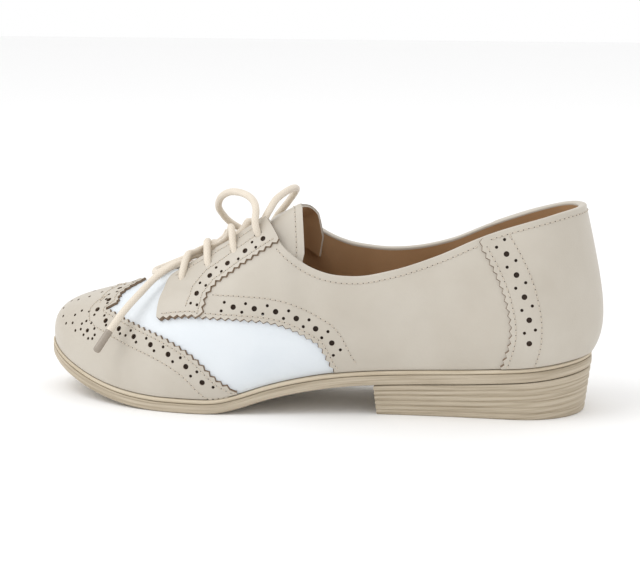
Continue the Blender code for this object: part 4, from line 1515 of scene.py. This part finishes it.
@dataclass
class Tongue:
    """The tongue: sewn under the vamp in front, soft and a little rippled above, with a stitched edge."""

    front: float = 204.0
    rear: float = 140.0
    half: float = 24.0
    top_half: float = 32.5
    sweep: float = 10.0
    thick: float = 1.6
    wall: float = 1.4
    gap: float = 0.5
    slack: float = 1.2
    slack_over: tuple[float, float] = (165.0, 145.0)
    flatness: float = 0.35
    round_over: tuple[float, float] = (176.0, 196.0)
    corner: float = 3.0
    columns: int = 64
    rows: int = 48
    # Soft folds: station and y of the middle, length, width, turn in degrees, depth
    folds: tuple[tuple[float, ...], ...] = (
        (158.0, -6.0, 9.0, 3.6, 28.0, -0.9), (150.0, 6.0, 11.0, 3.4, -18.0, 0.7),
        (166.0, 7.0, 8.0, 3.2, -32.0, -0.7), (144.0, -8.0, 10.0, 3.0, 10.0, -0.6),
        (171.0, -4.0, 7.0, 3.0, 8.0, 0.5),
    )

    def fold(self, station: float, aside: float) -> float:
        """Lift of the soft folds at a place."""
        lift = 0.0
        for middle, y, length, width, turn, depth in self.folds:
            along, across = station - middle, aside - y
            cos, sin = math.cos(math.radians(turn)), math.sin(math.radians(turn))
            u, v = (across * cos + along * sin) / length, (along * cos - across * sin) / width
            lift += depth * math.exp(-u * u - v * v)
        return lift

    def point(self, station: float, aside: float, offset: float) -> Vector:
        """A point of the tongue: it follows the last under the facings and is flatter between them."""
        side = 1 if aside >= 0 else -1
        turn, climb = LAST.turn_and_climb(side, station, LAST.angle_at_gap(side, station, abs(aside)))
        here, normal = LAST.frame_at(turn, min(climb, 0.999))
        gap = LAST.throat_gap
        ends = [LAST.section_point(s, station, LAST.angle_at_gap(s, station, gap)).z for s in (-1, 1)]
        level = ends[0] + (ends[1] - ends[0]) * (aside + gap) / (2 * gap)
        crown = max(LAST.section_point(*LAST.spot(turn, climb)).z - level, 0.0)
        keep = self.flatness + (1 - self.flatness) * smooth_step(*self.round_over, station)
        slack = self.slack * smooth_step(*self.slack_over, station)
        moved = here + normal * (offset - self.wall - self.gap - slack)
        moved.z += self.fold(station, aside) * smooth_step(gap, gap - 6, abs(aside)) - crown * (1 - keep)
        return moved

    def at(self, along: float, across: float, offset: float) -> Vector:
        """A point for a share of the way back and a share of the half width."""
        way = abs(across)
        rear = self.rear - self.sweep * way ** 1.5 + self.corner * smooth_step(0.92, 1.0, way)
        top_half = self.top_half if across > 0 else self.half
        half = self.half + (top_half - self.half) * smooth_step(0.35, 1.0, along)
        return self.point(self.front + (rear - self.front) * along, half * across, offset)

    def dress(self, finishes: Finishes) -> None:
        """Build the tongue and its stitches."""
        bm = unit_block(self.columns, self.rows)
        rim = rim_edges(bm)
        for face in bm.faces:
            face.material_index = 0 if face.calc_center_median().z > 0.1 else 1
        lay_out(bm, lambda x, y, layer: self.at(x, 2 * y - 1, -self.thick * (1 - layer)))
        bmesh.ops.bevel(bm, geom=rim, offset=0.5 * MM, offset_type="OFFSET", segments=3, profile=0.5,
                        affect="EDGES", clamp_overlap=True, material=-1)
        show(finish_mesh("tongue", bm), [finishes.beige, finishes.lining], ["tongue"])
        path = [(0.955, -0.97 + 1.94 * k / 90) for k in range(91)]
        route = []
        for along, across in path:
            here = self.at(along, across, 0.0)
            ahead = self.at(along + 0.004, across, 0.0) - here
            beside = self.at(along, across + 0.01, 0.0) - here
            normal = ahead.cross(beside).normalized()
            route.append((here, normal if normal.z > 0 else -normal))
        bm = bmesh.new()
        THREAD.sew(bm, route)
        show(finish_mesh("tongue_stitches", bm), [finishes.thread, finishes.painted_shade])


# The sole


@dataclass
class Bottom:
    """Outsole, stacked heel, welt and insole under the upper."""

    welt: float = 1.8
    gap: float = 0.3
    insole: float = 2.6
    wall: float = 1.4
    breast: float = 98.0
    taper: float = 2.6
    lifts: int = 6
    rib: float = 0.5
    columns: int = 150

    def station(self, first: float, last: float, a: float) -> float:
        """Station for a share of the way along, closer together where the ends are round."""
        if last < LAST.length - 20:
            return first + (last - first) * (1 - math.cos(a * math.pi / 2)) ** 0.9
        return first + (last - first) * (1 - math.cos(a * math.pi)) / 2

    def block(self, name: str, rows: int, levels: Sequence[tuple[float, Callable[[float], float]]],
              last: float) -> bpy.types.Object:
        """A block under the foot.

        Args:
            name: the piece's name.
            rows: cells across.
            levels: inset and height of each level, from the bottom up.
            last: station of its front end.

        Returns:
            The piece.
        """
        bm = unit_block(self.columns, rows, len(levels) - 1)

        def place_of(x: float, y: float, layer: float) -> tuple[float, float, float]:
            """Station, share across and height."""
            inset, height = levels[round(layer)]
            front = LAST.length - inset if last >= LAST.length else last - inset * 0.5
            station = self.station(inset, front, x)
            return station, y, height(station)

        def uv(x: float, y: float, layer: float) -> Spot:
            """Along and up the side, in metres."""
            station, _, height = place_of(x, y, layer)
            return (station + 90 * y) * MM, (height - LAST.underside(station)) * MM

        def shape(x: float, y: float, layer: float) -> Vector:
            """A point's place in the model."""
            station, _, height = place_of(x, y, layer)
            swing = 2 * y - 1
            side = 1 if swing >= 0 else -1
            aside = swing * LAST.half_width(side, station, levels[round(layer)][0])
            return Vector((station, LAST.spine(station) + aside, height))

        lay_uv(bm, uv)
        lay_out(bm, shape)
        return finish_mesh(name, bm, 50.0)

    def dress_outsole(self, finishes: Finishes) -> None:
        """The sole slab, rounded at its edges, with a fine groove along its side."""
        top = -(self.welt + self.gap)
        levels = (
            (1.3, LAST.underside),
            (0.5, lambda s: LAST.underside(s) + 0.18),
            (0.1, lambda s: LAST.underside(s) + 0.65),
            (0.0, lambda s: LAST.underside(s) + 1.3),
            (0.0, lambda s: LAST.feather(s) + top - 1.55),
            (0.12, lambda s: LAST.feather(s) + top - 1.3),
            (0.12, lambda s: LAST.feather(s) + top - 1.05),
            (0.0, lambda s: LAST.feather(s) + top - 0.8),
            (0.12, lambda s: LAST.feather(s) + top - 0.2),
            (0.4, lambda s: LAST.feather(s) + top),
        )
        item = self.block("outsole", 8, levels, LAST.length)
        show(item, [finishes.sole], ["outsole"])

    def dress_heel(self, finishes: Finishes) -> None:
        """The stacked heel: lifts that show as rounded ribs with dark grooves between."""
        levels: list[tuple[float, Callable[[float], float]]] = [(self.taper + 0.9, lambda s: 0.0)]
        profile = ((0.12, 0.25), (0.25, 0.02), (0.55, 0.0), (0.78, 0.05), (0.92, 0.3), (1.0, self.rib))
        for lift in range(self.lifts):
            for share, cut in profile:
                up = (lift + share) / self.lifts
                inset = self.taper * (1 - up) + cut + 0.3
                levels.append((inset, lambda s, up=up: up * (LAST.underside(s) - 0.35)))
        item = self.block("heel", 6, levels, self.breast)
        show(item, [finishes.sole], ["heel"])

    def dress_insole(self, finishes: Finishes) -> None:
        """The insole, a little dished at its edge."""
        inset = LAST.welt_reach + self.wall + 0.9
        levels = (
            (inset, lambda s: LAST.feather(s) + LAST.seat),
            (inset, lambda s: LAST.feather(s) + LAST.seat + self.insole - 0.7),
            (inset + 0.3, lambda s: LAST.feather(s) + LAST.seat + self.insole - 0.2),
            (inset + 1.0, lambda s: LAST.feather(s) + LAST.seat + self.insole),
        )
        item = self.block("insole", 10, levels, LAST.length)
        show(item, [finishes.sock], ["insole"])

    def dress_welt(self, finishes: Finishes) -> None:
        """The pale strip all round on top of the sole's edge, with a rounded lip."""
        section = (
            (7.2, -1.8), (0.5, -1.8), (0.2, -1.5), (0.05, -1.1), (0.1, -0.65), (0.35, -0.25), (0.8, -0.03),
            (1.5, 0.0), (7.2, 0.0), (7.2, -1.8),
        )
        count = 320
        rows = len(section) - 1

        def place_of(x: float, y: float) -> tuple[float, float, float]:
            """Station, inset and height."""
            inset, height = section[round(y * rows)]
            return self.station(inset, LAST.length - inset, abs(2 * x - 1)), inset, height

        def shape(x: float, y: float, layer: float) -> Vector:
            """A point's place in the model."""
            station, inset, height = place_of(x, y)
            side = 1 if x >= 0.5 else -1
            aside = side * LAST.half_width(side, station, inset)
            return Vector((station, LAST.spine(station) + aside, LAST.feather(station) + height))

        bm = bmesh.new()
        bmesh.ops.create_grid(bm, x_segments=count, y_segments=rows, size=0.5)
        bmesh.ops.translate(bm, verts=bm.verts[:], vec=(0.5, 0.5, 0))
        lay_uv(bm, lambda x, y, layer: (place_of(x, y)[0] * MM, y * 4 * MM))
        lay_out(bm, shape)
        show(finish_mesh("welt", bm, 50.0), [finishes.welt], ["welt"])

    def dress(self, finishes: Finishes) -> None:
        """Build every piece of the bottom."""
        self.dress_outsole(finishes)
        self.dress_heel(finishes)
        self.dress_insole(finishes)
        self.dress_welt(finishes)


# The lace


def smooth_route(points: Sequence[Sequence[float]], spacing: float) -> list[Vector]:
    """Points at about an even spacing on a smooth curve through a route."""
    knots = [Vector(point) for point in points]
    knots = [2 * knots[0] - knots[1]] + knots + [2 * knots[-1] - knots[-2]]
    route = []
    for before, start, end, after in zip(knots, knots[1:], knots[2:], knots[3:]):
        steps = max(round((end - start).length / spacing), 1)
        for step in range(steps):
            t = step / steps
            bend = 2 * before - 5 * start + 4 * end - after
            twist = 3 * start - before - 3 * end + after
            route.append(start + 0.5 * t * (end - before + t * (bend + t * twist)))
    return route + [knots[-2]]


def tube(name: str, route: Sequence[Vector], radius: float, around: int = 14) -> bpy.types.Object:
    """A round cord along a route, with rounded ends and a UV map along and round it.

    Args:
        name: the piece's name.
        route: centreline in the shoe's frame.
        radius: of the cord, in millimetres.
        around: sides of its section.

    Returns:
        The piece.
    """
    bm = bmesh.new()
    sweep(bm, route, radius, around)
    return finish_mesh(name, bm, 60.0)


def sweep(bm: bmesh.types.BMesh, route: Sequence[Vector], radius: float, around: int = 14) -> None:
    """Add a round cord along a route to a bmesh."""
    points = [Vector(p) for p in route]
    count = len(points)
    marks = np.concatenate([[0.0], np.cumsum([(b - a).length for a, b in zip(points, points[1:])])])
    tangents = [(points[min(k + 1, count - 1)] - points[max(k - 1, 0)]).normalized() for k in range(count)]
    normal = tangents[0].orthogonal().normalized()
    frames = []
    for tangent in tangents:
        normal = (normal - tangent * normal.dot(tangent)).normalized()
        frames.append((normal, tangent.cross(normal)))
    ends = (0.0, 0.55, 0.85)
    rings = [(0, share, -math.sqrt(1 - share * share)) for share in ends]
    rings += [(k, 1.0, 0.0) for k in range(count)]
    rings += [(count - 1, share, math.sqrt(1 - share * share)) for share in ends[::-1]]
    part = bmesh.new()
    bmesh.ops.create_grid(part, x_segments=len(rings) - 1, y_segments=around, size=0.5)
    bmesh.ops.translate(part, verts=part.verts[:], vec=(0.5, 0.5, 0))

    def ring(x: float) -> tuple[int, float, float]:
        """The ring at a share of the way along."""
        return rings[round(x * (len(rings) - 1))]

    def shape(x: float, y: float, layer: float) -> Vector:
        """A point's place in the model."""
        k, share, past = ring(x)
        angle = 2 * math.pi * y
        across, up = frames[k]
        around_point = (across * math.cos(angle) + up * math.sin(angle)) * radius * share
        return points[k] + around_point + tangents[k] * past * radius * 0.6

    lay_uv(part, lambda x, y, layer: (float(marks[ring(x)[0]]) * MM, y))
    lay_out(part, shape)
    bmesh.ops.remove_doubles(part, verts=part.verts[:], dist=2e-6)
    bmesh.ops.recalc_face_normals(part, faces=part.faces[:])
    scratch = bpy.data.meshes.new("strand")
    part.to_mesh(scratch)
    part.free()
    bm.from_mesh(scratch)
    bpy.data.meshes.remove(scratch)


class FarEnd(Enum):
    """Where a free stretch of lace ends."""

    SHOE = "object"
    TIP = "fitting"


@dataclass
class Lace:
    """The round lace: bars across the throat, loops and one loose end with its tip."""

    diameter: float = 3.4
    spacing: float = 1.4
    dive: float = 5.0
    tip_length: float = 11.0

    def into_eyelet(self, route: Sequence[Sequence[float]], side: int, number: int,
                    at_start: bool) -> list[Sequence[float]]:
        """Lead an end of a route down through an eyelet of one side, bending no more than it must."""
        here, normal = LAST.frame_at(*eyelets(side)[number].spot)
        points = list(reversed(route)) if at_start else list(route)
        mouth = here + normal * 2.2
        way = (mouth - Vector(points[-2])).normalized()
        led = points[:-1] + [tuple(mouth), tuple(here + (way - normal).normalized() * self.dive)]
        return led[::-1] if at_start else led

    def dress_bars(self, finishes: Finishes) -> None:
        """The crossed bars at the front eyelets and the two strands that pass under them."""
        first = self.into_eyelet(CROSSED_BARS[0], -1, 0, True)
        first = self.into_eyelet(first, 1, 1, False)
        second = self.into_eyelet(CROSSED_BARS[1], 1, 0, True)
        second = self.into_eyelet(second, -1, 1, False)
        third = self.into_eyelet(TUCKED_BARS[0], 1, 2, True)
        fourth = self.into_eyelet(TUCKED_BARS[1], -1, 2, True)
        bm = bmesh.new()
        for route in (first, second, third, fourth):
            sweep(bm, smooth_route(route, self.spacing), self.diameter / 2)
        show(finish_mesh("lace_bars", bm, 60.0), [finishes.lace], ["lace_bars"])

    def dress_cord(self, finishes: Finishes, name: str, points: Sequence[Sequence[float]], far_end: FarEnd) -> None:
        """One free stretch of the lace."""
        route = smooth_route(points, self.spacing)
        item = tube(name, route, self.diameter / 2)
        show(item, [finishes.lace], [name])
        path = [place(point) for point in route]

    def dress_tip(self, finishes: Finishes) -> bpy.types.Object:
        """The stiff tip on the loose end."""
        route = smooth_route(END_OUTER, 0.8)
        total = 0.0
        kept = [route[-1]]
        for point in reversed(route[:-1]):
            total += (point - kept[-1]).length
            if total > self.tip_length:
                break
            kept.append(point)
        return show(tube("lace_tip", kept, self.diameter / 2 + 0.12), [finishes.tip])

    def dress(self, finishes: Finishes) -> None:
        """Build the bars, the free stretches and the tip."""
        self.dress_bars(finishes)
        tip = self.dress_tip(finishes)
        self.dress_cord(finishes, "lace_loop_front", LOOP_FRONT, FarEnd.SHOE)
        self.dress_cord(finishes, "lace_end_outer", END_OUTER, FarEnd.TIP)
        self.dress_cord(finishes, "lace_arch_rear", ARCH_REAR, FarEnd.SHOE)
        front = self.into_eyelet(self.into_eyelet(ARCH_FRONT, 1, 3, False), -1, 2, True)
        self.dress_cord(finishes, "lace_arch_front", front, FarEnd.SHOE)
        self.dress_cord(finishes, "lace_sweep_inner", SWEEP_INNER, FarEnd.SHOE)


# Camera, floor and light


@dataclass(frozen=True)
class Studio:
    """A pale floor, soft light and the photograph's angle."""

    azimuth: float = 190.5
    elevation: float = 11.0
    distance: float = 0.875
    fill: float = 0.88
    floor: float = 6.0

    def dress(self) -> None:
        """Set the floor, the lights and the camera."""
        low, high = CAD_BOX
        centre = (low + high) / 2
        bm = bmesh.new()
        bmesh.ops.create_grid(bm, x_segments=2, y_segments=2, size=self.floor / 2)
        floor = finish_mesh("floor", bm)
        material, _, shader = new_material("pale_floor")
        shader.inputs["Base Color"].default_value = linear("#F8F8F8")
        shader.inputs["Roughness"].default_value = 0.9
        floor.data.materials.append(material)
        world = bpy.data.worlds.new("studio")
        world.use_nodes = True
        world.node_tree.nodes["Background"].inputs["Color"].default_value = linear("#FFFFFF")
        world.node_tree.nodes["Background"].inputs["Strength"].default_value = 1.0
        bpy.context.scene.world = world
        bpy.context.scene.view_settings.view_transform = "Standard"
        self.light("key", (0.8, 0.5, 1.4), 1.0, 7.0, centre)
        self.light("front", (1.2, 0.5, 0.6), 0.8, 1.2, centre)
        self.light("back", (-0.9, -0.8, 1.0), 0.8, 1.0, centre)
        self.camera(centre, high - low)

    def light(self, name: str, where: tuple[float, float, float], size: float, power: float,
              target: Vector) -> None:
        """One soft square light aimed at the shoe."""
        lamp = bpy.data.lights.new(name, "AREA")
        lamp.size = size
        lamp.energy = power
        item = bpy.data.objects.new(name, lamp)
        item.location = where
        item.rotation_euler = (target - Vector(where)).to_track_quat("-Z", "Y").to_euler()
        bpy.context.collection.objects.link(item)

    def camera(self, centre: Vector, size: Vector) -> None:
        """The camera at the photograph's angle, framing the one shoe."""
        a, e = math.radians(self.azimuth), math.radians(self.elevation)
        back = Vector((math.sin(a) * math.cos(e), -math.cos(a) * math.cos(e), math.sin(e)))
        data = bpy.data.cameras.new("camera")
        item = bpy.data.objects.new("camera", data)
        item.location = centre + back * self.distance
        item.rotation_euler = (-back).to_track_quat("-Z", "Y").to_euler()
        data.lens = data.sensor_width * self.distance * self.fill / size.x
        bpy.context.collection.objects.link(item)
        bpy.context.scene.camera = item


def main() -> None:
    """Build the pieces in order and report each one."""
    logging.basicConfig(level=logging.INFO, format="%(message)s")
    Studio().dress()
    finishes = Finishes()
    Lace().dress(finishes)
    Bottom().dress(finishes)
    wing = WingCap("wing_cap", LOWER_LAYER)
    Upper(wing).dress(finishes)
    wing.dress(finishes)
    quarters = {
        1: Quarter("quarter_lateral", LOWER_LAYER, side=1),
        -1: Quarter("quarter_medial", LOWER_LAYER, side=-1),
    }
    for side, quarter in quarters.items():
        quarter.dress(finishes)
        name = "facing_lateral" if side > 0 else "facing_medial"
        Facing(name, UPPER_LAYER, quarter=quarter).dress(finishes)
    HeelCounter("heel_counter", UPPER_LAYER).dress(finishes)
    RolledEdge(quarters).dress(finishes)
    Tongue().dress(finishes)


if __name__ == "__main__":
    main()
